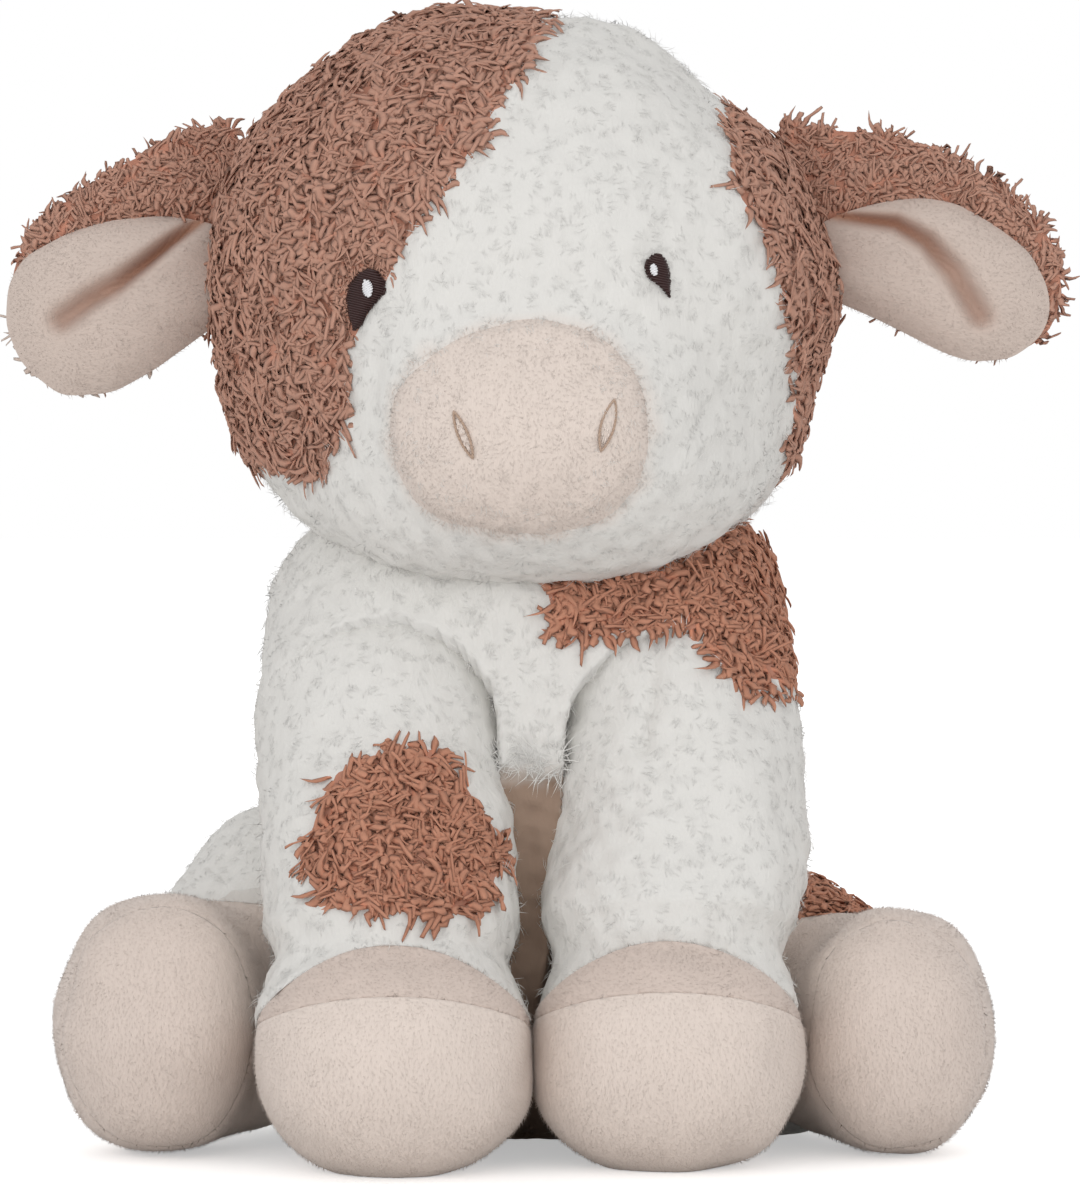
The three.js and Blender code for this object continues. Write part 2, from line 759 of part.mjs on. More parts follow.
// Tail, hung from the back of the seat, with a brown tuft
const seatLevel = (tailRootHeight - seatCentre[2]) / seatRadii[2];
const tailRoot = [0, seatBack + seatRadii[1] * Math.sqrt(1 - seatLevel ** 2), tailRootHeight];
const tailEnd = [0, tailRoot[1] + tailReach, tailRootHeight - tailDrop];
const tailForm = taperedForm(tailRoot, tailEnd, tailWidth / 2, tailWidth / 2);
const tailCentre = tailRoot.map((value, axis) => (value + tailEnd[axis]) / 2);
const tuftCentre = [0, tailEnd[1] + tailWidth / 4, tuftLength / 2 + seamGap];
const tuftForm = roundedForm(tuftCentre, [tuftWidth / 2, tuftWidth / 2, tuftLength / 2]);
const tailRoom = limbSweep(
  tailForm, tailCentre, socketClearance, smallFacets,
  tailRoot, axisZ, -tailWagDegrees, tailWagDegrees, tailSweepSteps,
);
const tuftRoom = formSolid(tuftForm, tuftCentre, seamGap, ...smallFacets);
addPiece('tail', formSolid(tailForm, tailCentre, 0, ...smallFacets).subtract(tuftRoom), white);
addPiece('tail_tuft', formSolid(tuftForm, tuftCentre, 0, ...smallFacets), brown);

// Torso, as front and back panels, shoulder patch, stuffing and pellet bag
const neckRoom = formSolid(neckForm, neckPivot, neckClearance, ...neckFacets);
const stuffingClearance = 2 * socketClearance + fabricThickness;

function torsoCutsWith(clearance, headSteps, limbSteps) {
  return joinedSolids([
    formSolid(headSweepForm, headCentre, clearance, ...headSteps),
    frontSweep('right', clearance, limbSteps),
    frontSweep('left', clearance, limbSteps),
    rearSweep('right', clearance, limbSteps),
    rearSweep('left', clearance, limbSteps),
    neckRoom,
    tailRoom,
    ground,
  ]);
}

const shoulderPatchShares = [
  [0.0, 0.93], [0.11, 0.76], [0.4, 0.77], [0.6, 0.79], [0.72, 0.74], [0.84, 0.7], [1.3, 0.69],
  [1.3, 1.2], [0.0, 1.2],
];
const shoulderPatchOutline = outlineFrom(shoulderPatchShares, chestWidth / 2, torsoHeight);
const patchBack = chestBack + chestDepth / 8;
const torsoCloth = clothOf(torsoForm, torsoCentre, torsoFacets, torsoInnerFacets)
  .subtract(torsoCutsWith(socketClearance, headFacets, limbFacets));
const sideOfSeam = (side, gap) => boxSolid(
  cutterSize, cutterSize, cutterSize, side * (cutterSize / 2 + gap), 0, -cutterSize / 2,
);
const shoulderCutter = (grow) => patchCutter(shoulderPatchOutline, grow, -headDepth, patchBack + grow);
addPiece('torso_panel_right', wholeOf(torsoCloth.intersect(sideOfSeam(-1, seamGap))), white);
const leftCloth = torsoCloth.intersect(sideOfSeam(1, 0));
addPiece('torso_panel_left', wholeOf(leftCloth.subtract(shoulderCutter(seamGap))), white);
addPiece('shoulder_patch', wholeOf(leftCloth.intersect(shoulderCutter(0))), brown);

const bagLift = pelletBagHeight / 8;
const bagCentre = [0, seatBack, fabricThickness + innerGap + pelletBagHeight / 2 + bagLift];
const bagRadii = [pelletBagWidth / 2, pelletBagDepth / 2, pelletBagHeight / 2];
const bagForm = roundedForm(bagCentre, bagRadii);
const bagShaft = new THREE.CylinderGeometry(
  pelletBagWidth / 3, pelletBagWidth / 3, pelletBagHeight, outlineSteps,
);
bagShaft.rotateX(Math.PI / 2);
bagShaft.translate(bagCentre[0], bagCentre[1], bagCentre[2] - pelletBagHeight / 2);
addPiece('seat_pellet_bag', formSolid(bagForm, bagCentre, 0, ...smallFacets), pelletCloth);
addPiece('torso_stuffing', wholeOf(stuffingOf(torsoForm, torsoCentre, torsoInnerFacets)
  .subtract(torsoCutsWith(stuffingClearance, headInnerFacets, limbSweepFacets))
  .subtract(formSolid(bagForm, bagCentre, seamGap, ...smallFacets))
  .subtract(solidOf(bagShaft))), filling);

// A limb's cloth is open where it is sewn to the torso
const openingShare = 0.3;

function limbOpening(pivot, width) {
  const inward = new THREE.Vector3(0, torsoCentre[1], pivot[2]).sub(new THREE.Vector3(...pivot));
  const centre = new THREE.Vector3(...pivot).addScaledVector(inward.normalize(), width / 2);
  const radius = width * openingShare;
  const opening = roundedForm(centre.toArray(), [radius, radius, radius]);
  return formSolid(opening, centre.toArray(), 0, ...openingFacets);
}

// Front legs
const kneePatchShares = [
  [0.12, 0.78], [0.28, 0.77], [0.42, 0.64], [0.54, 0.47], [0.6, 0.35], [0.52, 0.13], [0.28, 0.14],
  [0.0, 0.16], [-0.24, 0.21], [-0.33, 0.35], [-0.24, 0.51], [-0.16, 0.68],
];
for (const [side, name, forward] of [[-1, 'right', rightFootForward], [1, 'left', leftFootForward]]) {
  const form = frontLegForms[name];
  const centre = frontLegCentres[name];
  const toe = -forward - frontFootLength / 2;
  const cloth = clothOf(form, centre, limbFacets, limbInnerFacets)
    .subtract(ground)
    .subtract(limbOpening(shoulders[name], legWidth));
  const instep = (toe - forward) / 2;
  const legCloth = cloth.intersect(aboveSeam(instep, furSeamHeight, furSeamTiltDegrees));
  const footCloth = cloth.intersect(
    belowSeam(instep, furSeamHeight - seamGap, furSeamTiltDegrees),
  );
  const upper = footCloth.intersect(aboveSeam(toe, frontFootSeamHeight, frontFootSeamTiltDegrees));
  const sole = footCloth.intersect(belowSeam(toe, frontFootSeamHeight - seamGap, frontFootSeamTiltDegrees));
  if (side < 0) {
    const patchX = side * (frontFootWidth + frontFootGap) / 2 - legWidth / 8;
    const patchHeight = shoulderHeight - ankleHeight;
    const patchOutline = outlineFrom(
      kneePatchShares, legWidth, patchHeight, patchX, ankleHeight + legWidth / 8,
    );
    const middle = (centre[1] + shoulders[name][1]) / 2;
    const patch = legCloth.intersect(patchCutter(patchOutline, 0, -headDepth, middle));
    addPiece(`knee_patch_${name}`, wholeOf(patch), brown);
    addPiece(`front_leg_${name}`, legCloth
      .subtract(patchCutter(patchOutline, seamGap, -headDepth, middle + seamGap)), white);
  } else {
    addPiece(`front_leg_${name}`, legCloth, white);
  }
  addPiece(`front_foot_upper_${name}`, upper, pink);
  addPiece(`front_foot_sole_${name}`, sole, pink);
  addPiece(`front_leg_stuffing_${name}`, stuffingOf(form, centre, limbInnerFacets)
    .subtract(ground), filling);
}

// Rear legs, trimmed where the front feet pass, and flat beside them
const thighPatchShares = [
  [0.0, 0.78], [0.45, 0.62], [0.2, 0.48], [-0.3, 0.44], [-0.5, 0.6],
];
for (const [side, name] of [[-1, 'right'], [1, 'left']]) {
  const form = rearLegForms[name];
  const centre = rearLegCentres[name];
  const frontLegRoom = frontSweep(name, socketClearance, limbFacets);
  const cloth = clothOf(form, centre, limbFacets, limbInnerFacets)
    .subtract(ground)
    .subtract(limbOpening(hips[name], thighWidth))
    .subtract(frontLegRoom);
  const soleSeam = -rearFootForward - rearFootLength / 2 + soleDepth;
  const legSeam = -rearFootForward + rearFootLength / 3;
  const ahead = (y) => boxSolid(
    cutterSize, cutterSize, cutterSize, 0, y - cutterSize / 2, -cutterSize / 2,
  );
  const behind = (y) => boxSolid(
    cutterSize, cutterSize, cutterSize, 0, y + cutterSize / 2, -cutterSize / 2,
  );
  const footSide = side * (frontFootWidth + frontFootGap / 2 + socketClearance);
  const footCloth = cloth.intersect(boxSolid(
    cutterSize, cutterSize, cutterSize, footSide + side * cutterSize / 2, 0, -cutterSize / 2,
  ));
  const legCloth = cloth.intersect(behind(legSeam));
  if (side > 0) {
    const patchX = hips[name][0] + thighWidth / 3;
    const patchOutline = outlineFrom(thighPatchShares, thighWidth / 2, thighWidth, patchX, thighWidth / 4);
    addPiece(`thigh_patch_${name}`, legCloth
      .intersect(patchCutter(patchOutline, 0, -headDepth, hipBack)), brown);
    addPiece(`rear_leg_${name}`, legCloth
      .subtract(patchCutter(patchOutline, seamGap, -headDepth, hipBack + seamGap)), white);
  } else {
    addPiece(`rear_leg_${name}`, legCloth, white);
  }
  addPiece(`rear_foot_upper_${name}`, footCloth
    .intersect(ahead(legSeam - seamGap))
    .intersect(behind(soleSeam)), pink);
  addPiece(`rear_foot_sole_${name}`, footCloth.intersect(ahead(soleSeam - seamGap)), pink);
  addPiece(`rear_leg_stuffing_${name}`, stuffingOf(form, centre, limbInnerFacets)
    .subtract(ground)
    .subtract(frontLegRoom), filling);
}

// The origin is the middle of the cow's base
const bounds = new THREE.Box3().setFromObject(cow);
cow.position.set(
  -(bounds.min.x + bounds.max.x) / 2,
  -(bounds.min.y + bounds.max.y) / 2,
  -bounds.min.z,
);

export default cow;
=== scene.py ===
"""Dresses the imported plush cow: sewn skins, curly coat, short-pile feet and muzzle, and thread."""

import json
import math

import bmesh
import bpy
import numpy as np
from bpy.props import FloatProperty, FloatVectorProperty, IntProperty, PointerProperty
from mathutils import Euler, Matrix, Vector

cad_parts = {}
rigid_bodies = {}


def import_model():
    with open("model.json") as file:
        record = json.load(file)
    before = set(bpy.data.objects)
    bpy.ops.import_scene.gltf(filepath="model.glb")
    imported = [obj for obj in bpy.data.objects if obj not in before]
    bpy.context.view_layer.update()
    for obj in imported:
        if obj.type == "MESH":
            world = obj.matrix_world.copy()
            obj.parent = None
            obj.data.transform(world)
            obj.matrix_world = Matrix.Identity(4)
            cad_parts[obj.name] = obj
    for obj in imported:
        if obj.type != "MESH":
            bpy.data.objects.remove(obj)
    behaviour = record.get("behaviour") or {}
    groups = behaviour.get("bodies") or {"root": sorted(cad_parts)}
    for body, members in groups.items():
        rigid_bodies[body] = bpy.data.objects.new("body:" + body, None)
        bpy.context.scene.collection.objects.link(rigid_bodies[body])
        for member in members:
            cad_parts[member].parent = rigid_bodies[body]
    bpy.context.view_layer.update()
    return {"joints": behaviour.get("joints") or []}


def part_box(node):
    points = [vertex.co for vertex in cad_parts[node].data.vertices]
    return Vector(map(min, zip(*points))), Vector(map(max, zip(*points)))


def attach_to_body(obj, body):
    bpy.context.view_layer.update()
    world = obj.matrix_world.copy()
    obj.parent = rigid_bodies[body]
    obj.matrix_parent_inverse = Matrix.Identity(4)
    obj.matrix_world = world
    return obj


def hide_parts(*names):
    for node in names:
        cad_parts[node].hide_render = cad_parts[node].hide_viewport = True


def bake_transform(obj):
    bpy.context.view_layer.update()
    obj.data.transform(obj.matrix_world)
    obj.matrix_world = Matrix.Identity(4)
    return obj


bl_info = {
    "name": "Plush cow",
    "version": (1, 0, 0),
    "blender": (4, 5, 0),
    "location": "3D View > Sidebar > Plush cow",
    "description": "Sews, stuffs and furs a sitting plush cow on its packed frame",
    "category": "Object",
}

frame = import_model()
JOINTS = {joint["name"]: joint for joint in frame["joints"]}

# Sewing sizes in millimetres, in the model's own coordinates
MM = 0.001
NECK = np.array([0.0, 2.0, 105.0])
ORIGIN = np.array(JOINTS["neck_turn"]["pos_m"]) / MM - NECK

HEAD_CENTRE = np.array([-0.5, -6.0, 149.5])
HEAD_RADII = (52.5, 44.0, 48.0)
HEAD_TURN = (
    Euler((0, math.radians(-4), 0)).to_matrix() @ Euler((0, 0, math.radians(-3))).to_matrix()
)
MUZZLE_CENTRE = np.array([1.05, -34.0, -23.04])
MUZZLE_RADII = (23.25, 23.0, 18.5)
SEAT = (np.array([0.0, 8.0, 40.0]), (45.0, 38.0, 40.5))
CHEST = (np.array([0.0, 4.0, 80.24]), (42.0, 34.0, 37.76))
SIDES = {"right": -1, "left": 1}
FOOT_FORWARD = {"right": 48.0, "left": 41.0}

# How far the backing of the coat lies outside the model's plain solids
COAT_ROOT = 2.5

# Steps of the even balls that skins are laid on
FINE, MIDDLE, COARSE = 7, 6, 5

# A distance that stands for nowhere near
FAR = 1e3

# What lumps are made of, and rings and points round an ear
FIELD_WAVES = 9
EAR_RINGS, EAR_ROUND = 22, 120

# Seams across the legs in millimetres: on a front leg how far back from the foot's middle, how
# high and how steep in degrees, and how far they arch, and on a rear leg where front to back
FUR_SEAM, FUR_ARCH = (-12, 39, -15), 8.0
FACE_SEAM, FACE_ARCH = (-24, 32.0, -11), 2.5
REAR_FUR_SEAM, REAR_SOLE_SEAM = -28 + 40 / 3, -36.0

# How far each pile on the head keeps from the muzzle's edge and from the eyes
WHITE_ROOM, WHITE_EDGE = (2.9, 2.0), (1.2, -1.0)
BROWN_ROOM, BROWN_EDGE = 3.0, 0.3

# What the torso keeps from the limbs and the head at rest and from the limbs' sweep, and the top,
# half width and depth of the hollow between the front legs, where the backing is painted dark as
# shade
REST_CLEARANCE, SWEEP_CLEARANCE = 1.3, 0.3
BELLY_TOP, BELLY_HALF, BELLY_DEPTH = 68.0, 9.0, 4.0

# What a rear leg's skin and foot keep from the front leg's sweep, and how each rear foot is moved
# and stretched about its middle
REAR_SKIN_CLEARANCE, REAR_FOOT_CLEARANCE = 2.2, 1.2
REAR_FOOT_FIT = {
    "right": ((0.9, 0, 0.7), (0.985, 1.0, 1.025)), "left": ((-2.1, 0, -0.6), (0.925, 1.0, 0.97)),
}

# Most strands' faces in one mesh, shades of colour among the strands, and shapes of each kind
FACE_LIMIT = 190000
LOCK_CELLS = 24
STRAND_SHAPES = 10
FLUFF_SHAPES = 8

# Height and size of the small puckers in all stuffed cloth, and of the waves in a patch's edge
PUCKER_HEIGHT, PUCKER_SIZE = 0.22, 6
RAGGED_HEIGHT, RAGGED_SIZE, RAGGED_SEED = 0.7, 5, 8

# Height and size of the lumps in each stuffed skin, and the seeds of its lumps and puckers
LUMPS = {
    "head": (0.5, 22, 3, 23), "torso": (0.4, 26, 4, 24),
    "front_leg_right": (0.5, 20, 5, 26), "front_leg_left": (0.5, 20, 7, 26),
    "rear_leg_right": (0.4, 20, 15, 27), "rear_leg_left": (0.4, 20, 17, 27),
}
FOOT_LUMP = 16

# How far the head's skin is let out, in millimetres, at degrees round its outline from the left
HEAD_LETTING = (
    (-166, -0.4), (-158, -0.5), (-150, -0.5), (-142, 0.2), (-60, 0.8), (-48, 0.0), (-36, -0.9),
    (-30, -1.9), (-24, -3.6), (-16, -4.7), (-10, -4.0), (-4, -0.4), (4, -1.4), (15, -4.2),
    (28, -3.4), (38, -5.9), (46, -6.7), (54, -5.4), (60, -3.6), (66, -2.8), (72, -2.0),
    (80, -2.1), (90, -2.5), (102, -1.1), (114, -0.2), (122, -0.8), (138, -1.3), (150, 0.0),
    (170, -0.1),
)

# How far torso and front legs are let out at each side: an amount, its height and its spread
TORSO_LETTING = {"right": [(2.1, 99, 15)], "left": [(0.8, 104, 6), (-2.8, 81, 9)]}
LEG_LETTING = {"right": [(0.9, 0, math.inf)], "left": [(2.4, 57, 15), (-2.0, 87, 11)]}

# Patch outlines as shares of half the head, of the chest's half width and the torso's height,
# and of a box round the thigh
HEAD_PATCH_SHARES = {
    "right": [
        (0.12, 1.3), (0.12, 0.94), (0.05, 0.78), (-0.03, 0.64), (-0.14, 0.46), (-0.25, 0.33),
        (-0.35, 0.18), (-0.43, 0.02), (-0.5, -0.08), (-0.56, -0.18), (-0.57, -0.35),
        (-0.62, -0.49), (-0.68, -0.6), (-0.85, -0.58), (-1.3, -0.4), (-1.3, 1.3),
    ],
    "left": [
        (1.3, 0.66), (0.74, 0.62), (0.71, 0.55), (0.72, 0.41), (0.74, 0.27), (0.8, 0.17),
        (0.83, 0.04), (0.86, -0.1), (0.88, -0.25), (0.88, -0.39), (0.86, -0.54), (0.83, -0.66),
        (1.3, -0.66),
    ],
}
SHOULDER_PATCH_SHARES = [
    (0.0, 0.93), (0.11, 0.76), (0.4, 0.77), (0.6, 0.79), (0.72, 0.74), (0.84, 0.7),
    (1.3, 0.69), (1.3, 1.2), (0.0, 1.2),
]
THIGH_PATCH_SHARES = [(0.0, 0.78), (0.45, 0.62), (0.2, 0.48), (-0.3, 0.44), (-0.5, 0.6)]

# Brown patches on the front legs in millimetres across and up, seen from the front
LEG_PATCHES = {
    "right": [
        (-32.7 + 37 * across, 38.6 + 42 * up) for across, up in
        [(0.27, 0.78), (0.43, 0.77), (0.57, 0.64), (0.69, 0.47), (0.75, 0.35), (0.67, 0.13),
         (0.43, 0.14), (0.15, 0.16), (-0.09, 0.21), (-0.18, 0.35), (-0.09, 0.51), (-0.01, 0.68)]
    ],
    "left": [
        (2.0, 110.0), (8.0, 91.0), (18.7, 92.0), (27.3, 92.5), (31.6, 86.5), (36.8, 81.0),
        (44.6, 79.5), (60.0, 78.0), (60.0, 115.0),
    ],
}

# A crease down the front of the left leg, in millimetres across and up
LEG_CREASE = [(21.8, 90.0), (20.1, 81.0), (18.7, 71.0)]

# Ear outlines in millimetres: outward from the sewn root, and up along its hinge
EAR_LINING = {
    "right": [
        (3, 6), (8, 9.5), (12.4, 11.8), (21, 14.4), (28.6, 15.2), (38, 14.2), (42.4, 10.8),
        (45.6, 4.3), (45.6, -3.0), (41.2, -11.0), (32.4, -14.0), (23.9, -13.0), (18.2, -11.6),
        (12, -10), (3, -8),
    ],
    "left": [
        (2, -2.5), (7.4, 1.9), (14.1, 5.5), (20.1, 7.6), (26.3, 8.0), (33.8, 5.8), (40.5, 2.9),
        (45.0, -2.0), (46.8, -6.5), (46.2, -11.2), (42.0, -16.2), (35.2, -18.4), (30.1, -18.0),
        (22.4, -16.2), (17.0, -15.0), (12.0, -14.2), (2, -12.6),
    ],
}
EAR_BACK = {
    "right": [
        (-5, 23.4), (6, 23.6), (17.8, 22.6), (26.9, 20.8), (34.5, 18.0), (40.5, 13.6),
        (44.0, 6.5), (44.6, -2.5), (40.6, -9.6), (32.5, -12.6), (23.9, -11.6), (18.2, -10.2),
        (10, -8.8), (-3, -8),
    ],
    "left": [
        (-7, 14.4), (3.3, 15.4), (9.9, 17.0), (17.5, 16.6), (26.9, 14.8), (33.5, 12.6), (39.6, 9.4),
        (45.4, 4.2), (48.0, -3.0), (47.6, -10.0), (43.0, -15.0), (35.4, -17.0), (30.1, -16.6),
        (22.4, -15.0), (17.0, -13.8), (12.0, -13.0), (-4, -12),
    ],
}
EAR_FOLD = {
    "right": [(6, 8.6), (12.1, 6.9), (17.6, 5.1), (23.7, 3.4), (29.3, 2.6), (35.2, 1.2)],
    "left": [(5, 0.8), (11.3, 1.4), (16.4, 2.0), (22.3, 0.3), (28.2, -3.8), (34.7, -10.2)],
}
EAR_LENGTH = 46
EAR_CUP = 2.0

# Where the coat behind an ear shows as tufts below its edge, in millimetres across and up
EAR_TUFTS = {"right": [(-86.6, 135.6), (-79.6, 132.2), (-67.6, 136.2), (-90.4, 143.0)]}

# The embroidered face, in millimetres across and up from the head's middle
EYE_OUTLINE = {
    "right": [
        (-27.6, -5.2), (-28.6, -2.6), (-28.9, 0.2), (-28.2, 2.6), (-26.6, 4.5), (-24.6, 5.2),
        (-22.8, 4.6), (-21.6, 2.8), (-21.9, 0.8), (-23.6, -0.8), (-25.2, -2.4), (-26.4, -4.4),
    ],
    "left": [
        (25.8, -3.3), (26.3, -1.0), (26.3, 1.2), (25.8, 3.1), (24.8, 4.2), (23.6, 4.2),
        (22.5, 3.2), (22.1, 1.6), (22.5, 0.2), (23.6, -0.6), (24.6, -1.6),
    ],
}
HIGHLIGHT = {"right": (-24.8, 1.8, 0.95, 1.5), "left": (23.7, 1.5, 0.65, 1.0)}
NOSTRIL_ENDS = {"right": [(-10.9, -19.9), (-8.2, -27.9)], "left": [(16.0, -19.8), (13.2, -28.2)]}
NOSTRIL_WIDTH = {"right": 1.7, "left": 2.2}

# Brightness of the sky's light, the floor's half size in metres, own glow and colours, and the
# lamps' places in metres, sizes and powers, with the place that they point at
SKY_LEVEL = 0.68
FLOOR_HALF, FLOOR_GLOW = 4.0, 0.42
FLOOR_LIT, FLOOR_SEEN = (0.88, 0.87, 0.86, 1), (1, 1, 1, 1)
LAMPS = {
    "key": ((-0.6, -1.4, 0.35), 1.2, 7.0),
    "fill": ((0.7, -1.35, 0.12), 1.2, 5.65),
    "back": ((0.3, 1.5, 0.7), 1.4, 6.0),
}
LAMP_AIM = (0, 0, 0.1)

# The camera's place: millimetres from the neck to where it points, metres from there and tilt,
# and its lens in millimetres
CAMERA_AIM = (1.5, -2.0, -8.6)
CAMERA_DISTANCE = 1.1
CAMERA_TILT = math.radians(2.0)
CAMERA_SENSOR, CAMERA_LENS = 36, 188.96


def size_setting(name, description, default, least):
    """A length for the panel."""
    return FloatProperty(
        name=name, description=description, default=default, min=least, unit="LENGTH"
    )


def colour_setting(name, description, red, green, blue):
    """A colour for the panel."""
    return FloatVectorProperty(
        name=name, description=description, subtype="COLOR", size=4, min=0, max=1,
        default=(red, green, blue, 1),
    )


class CowCoatSizes(bpy.types.PropertyGroup):
    """Sizes of the curly coat and of the short pile."""

    spacing: size_setting("Lock spacing", "Least distance between two locks", 0.00116, 0.0006)
    lock_length: size_setting("Lock length", "Length of a brown lock along its curl", 0.0036, 0.001)
    lock_width: size_setting("Lock width", "Width of a brown lock at its widest", 0.0023, 0.0002)
    fluff_length: size_setting("Fluff length", "Length of a white lock", 0.0025, 0.001)
    fluff_width: size_setting("Fluff width", "Width of a white lock", 0.0019, 0.0002)
    swirl: size_setting("Swirl size", "How far the coat runs before it turns", 0.0042, 0.001)
    nap_length: size_setting("Nap length", "Length of the short pile", 0.0009, 0.0003)
    nap_width: size_setting("Nap width", "Width of a strand of short pile", 0.00016, 0.00005)
    nap_spacing: size_setting(
        "Nap spacing", "Least distance between two strands of short pile", 0.00062, 0.0003
    )
    seed: IntProperty(name="Seed", description="Picks another arrangement of the locks", default=7)


class CowColours(bpy.types.PropertyGroup):
    """Colours of cloth and thread."""

    white: colour_setting("White coat", "The white locks", 0.752, 0.74, 0.712)
    brown: colour_setting("Brown coat", "The brown locks of head and ears", 0.505, 0.282, 0.209)
    body_brown: colour_setting(
        "Brown body patches", "The brown locks on shoulder, knee and thigh", 0.51, 0.245, 0.162
    )
    velour: colour_setting("Velour", "Short pile of feet and muzzle", 0.775, 0.675, 0.61)
    lining: colour_setting("Ear lining", "Short pile inside the ears", 0.635, 0.53, 0.47)
    eye: colour_setting("Eye thread", "Satin stitch of the eyes", 0.030, 0.008, 0.007)
    highlight: colour_setting(
        "Highlight thread", "Satin stitch of the eye highlights", 0.80, 0.80, 0.86
    )
    nostril: colour_setting(
        "Nostril thread", "Outline stitch of the nostrils", 0.44, 0.31, 0.23
    )


# Forms: functions of points in millimetres that are below zero inside


def rounded(centre, radii, fullness=2.0, below=None):
    """An ellipsoid, squarer as its fullness grows."""
    centre, radii = np.asarray(centre, float), np.asarray(radii, float)

    def form(points):
        share = (points - centre) / radii
        power = np.where(share[:, 2] > 0, fullness, below or fullness)
        share = np.abs(share)
        across = (share[:, 0] ** fullness + share[:, 1] ** fullness) ** (1 / fullness)
        return ((across**power + share[:, 2] ** power) ** (1 / power) - 1) * radii.min()

    return form


def tapered(start, end, radius_start, radius_end):
    """A limb between two points."""
    start, along = np.asarray(start, float), np.asarray(end, float) - start

    def form(points):
        share = np.clip((points - start) @ along / (along @ along), 0, 1)
        off = points - start - share[:, None] * along
        return np.linalg.norm(off, axis=1) - radius_start - share * (radius_end - radius_start)

    return form


def blended(one, other, softening):
    """Two forms run together over a soft seam."""

    def form(points):
        a, b = one(points), other(points)
        overlap = np.maximum(softening - np.abs(a - b), 0) / softening
        return np.minimum(a, b) - overlap**2 * softening / 4

    return form


def turned(form, pivot, axis, degrees):
    """A form turned about a pivot."""
    back = np.array(Matrix.Rotation(math.radians(-degrees), 3, axis))
    pivot = np.asarray(pivot, float)
    return lambda points: form((points - pivot) @ back.T + pivot)


def let_out(form, amount):
    """A form made larger by millimetres that change from place to place."""
    return lambda points: form(points) - amount(points)


def in_head(form):
    """A form in the head's own coordinates, placed on the cow."""
    turn = np.array(HEAD_TURN)
    return lambda points: form((points - HEAD_CENTRE) @ turn)


def from_head(points):
    """Points in the head's own coordinates, placed on the cow."""
    return np.asarray(points) @ np.array(HEAD_TURN).T + HEAD_CENTRE


def head_letting(points):
    """How far the head's skin is let out at points in the head's own coordinates."""
    spot = points @ np.array(HEAD_TURN).T
    degrees = np.degrees(np.arctan2(spot[:, 2], spot[:, 0]))
    rim = np.clip(np.hypot(spot[:, 0], spot[:, 2]) / 48, 0, 1) ** 3
    table = np.array(HEAD_LETTING)
    near = [np.interp(degrees + off, table[:, 0], table[:, 1], period=360) for off in (-7, 0, 7)]
    return np.mean(near, axis=0) * rim


def swelling(points, side, start, run, rows):
    """How far cloth is let out beyond a distance to a side, by amounts, heights and spreads."""
    outer = np.clip((SIDES[side] * points[:, 0] - start) / run, 0, 1)
    height = points[:, 2]
    return outer * sum(
        amount * np.exp(-(((height - middle) / spread) ** 2)) for amount, middle, spread in rows
    )


def torso_letting(points):
    """How far the torso's skin is let out at the shoulders."""
    return sum(swelling(points, side, 15, 15, rows) for side, rows in TORSO_LETTING.items())


head_form = rounded((0, 0, 0), HEAD_RADII, 2.1, 2.4)
chin_form = rounded((0.5, -24.0, -33.0), (30.0, 17.0, 13.0))
muzzle_form = rounded(MUZZLE_CENTRE, MUZZLE_RADII, 2.2)
muzzle_base = rounded(MUZZLE_CENTRE + (0, 3.0, 0), np.array(MUZZLE_RADII) - (1.4, 1.2, 1.4), 2.2)
muzzle_edge = rounded(MUZZLE_CENTRE - (0.8, 0, 0), np.array(MUZZLE_RADII) + (-0.6, 2.0, 0.3), 2.2)
bare_head_form = let_out(blended(head_form, chin_form, 8), head_letting)
head_skin_form = blended(bare_head_form, muzzle_base, 11)
torso_form = blended(rounded(*SEAT, 2.1), rounded(*CHEST, 2.4), 14)


def muzzle_skin_form(points):
    """The muzzle, run softly into the face and ending a little inside its seam with the coat."""
    dome = blended(
        let_out(bare_head_form, lambda p: COAT_ROOT + 0.35), let_out(muzzle_form, lambda p: 1.3), 11
    )
    return np.maximum(dome(points), muzzle_edge(points) - 1.6)


def front_leg_places(side):
    """Shoulder, ankle and foot centre of a front leg."""
    sign, forward = SIDES[side], FOOT_FORWARD[side]
    foot_x = sign * 23.15
    return (
        np.array([sign * 25.5, -16.0, 76.0]),
        np.array([foot_x, 6.0 - forward, 34.0]),
        np.array([foot_x, -forward, 19.75]),
    )


def front_leg_form(side):
    """A front leg from shoulder to toe."""
    shoulder, ankle, foot = front_leg_places(side)
    return blended(tapered(shoulder, ankle, 18.5, 19), rounded(foot, (22.7, 24, 20.25), 2.3), 3)


def rear_leg_places(side):
    """Hip, ankle and foot centre of a rear leg."""
    sign = SIDES[side]
    return (
        np.array([sign * 38.5, 6.0, 24.5]),
        np.array([sign * 64.85, -18.0, 19.5]),
        np.array([sign * 64.85, -28.0, 22.25]),
    )


def rear_leg_form(side):
    """A rear leg from hip to sole."""
    hip, ankle, foot = rear_leg_places(side)
    return blended(tapered(hip, ankle, 25, 19.5), rounded(foot, (18.7, 20, 22.75), 2.2), 6)


def rear_leg_skin_form(side):
    """A rear leg's furred part, which is slimmer than the foot where it meets it."""
    hip, radius = {
        "right": (np.array([-40.5, 6.0, 30.0]), 26.4), "left": (np.array([38.5, 6.0, 23.5]), 23.0)
    }[side]
    return tapered(hip, np.array([SIDES[side] * 63.5, -16.0, 20.5]), radius, 13.0)


def front_leg_sweep(side):
    """The room that a front leg takes as it lifts."""
    shoulder = front_leg_places(side)[0]
    return [turned(front_leg_form(side), shoulder, "X", -degrees) for degrees in (0, 17, 34, 50)]


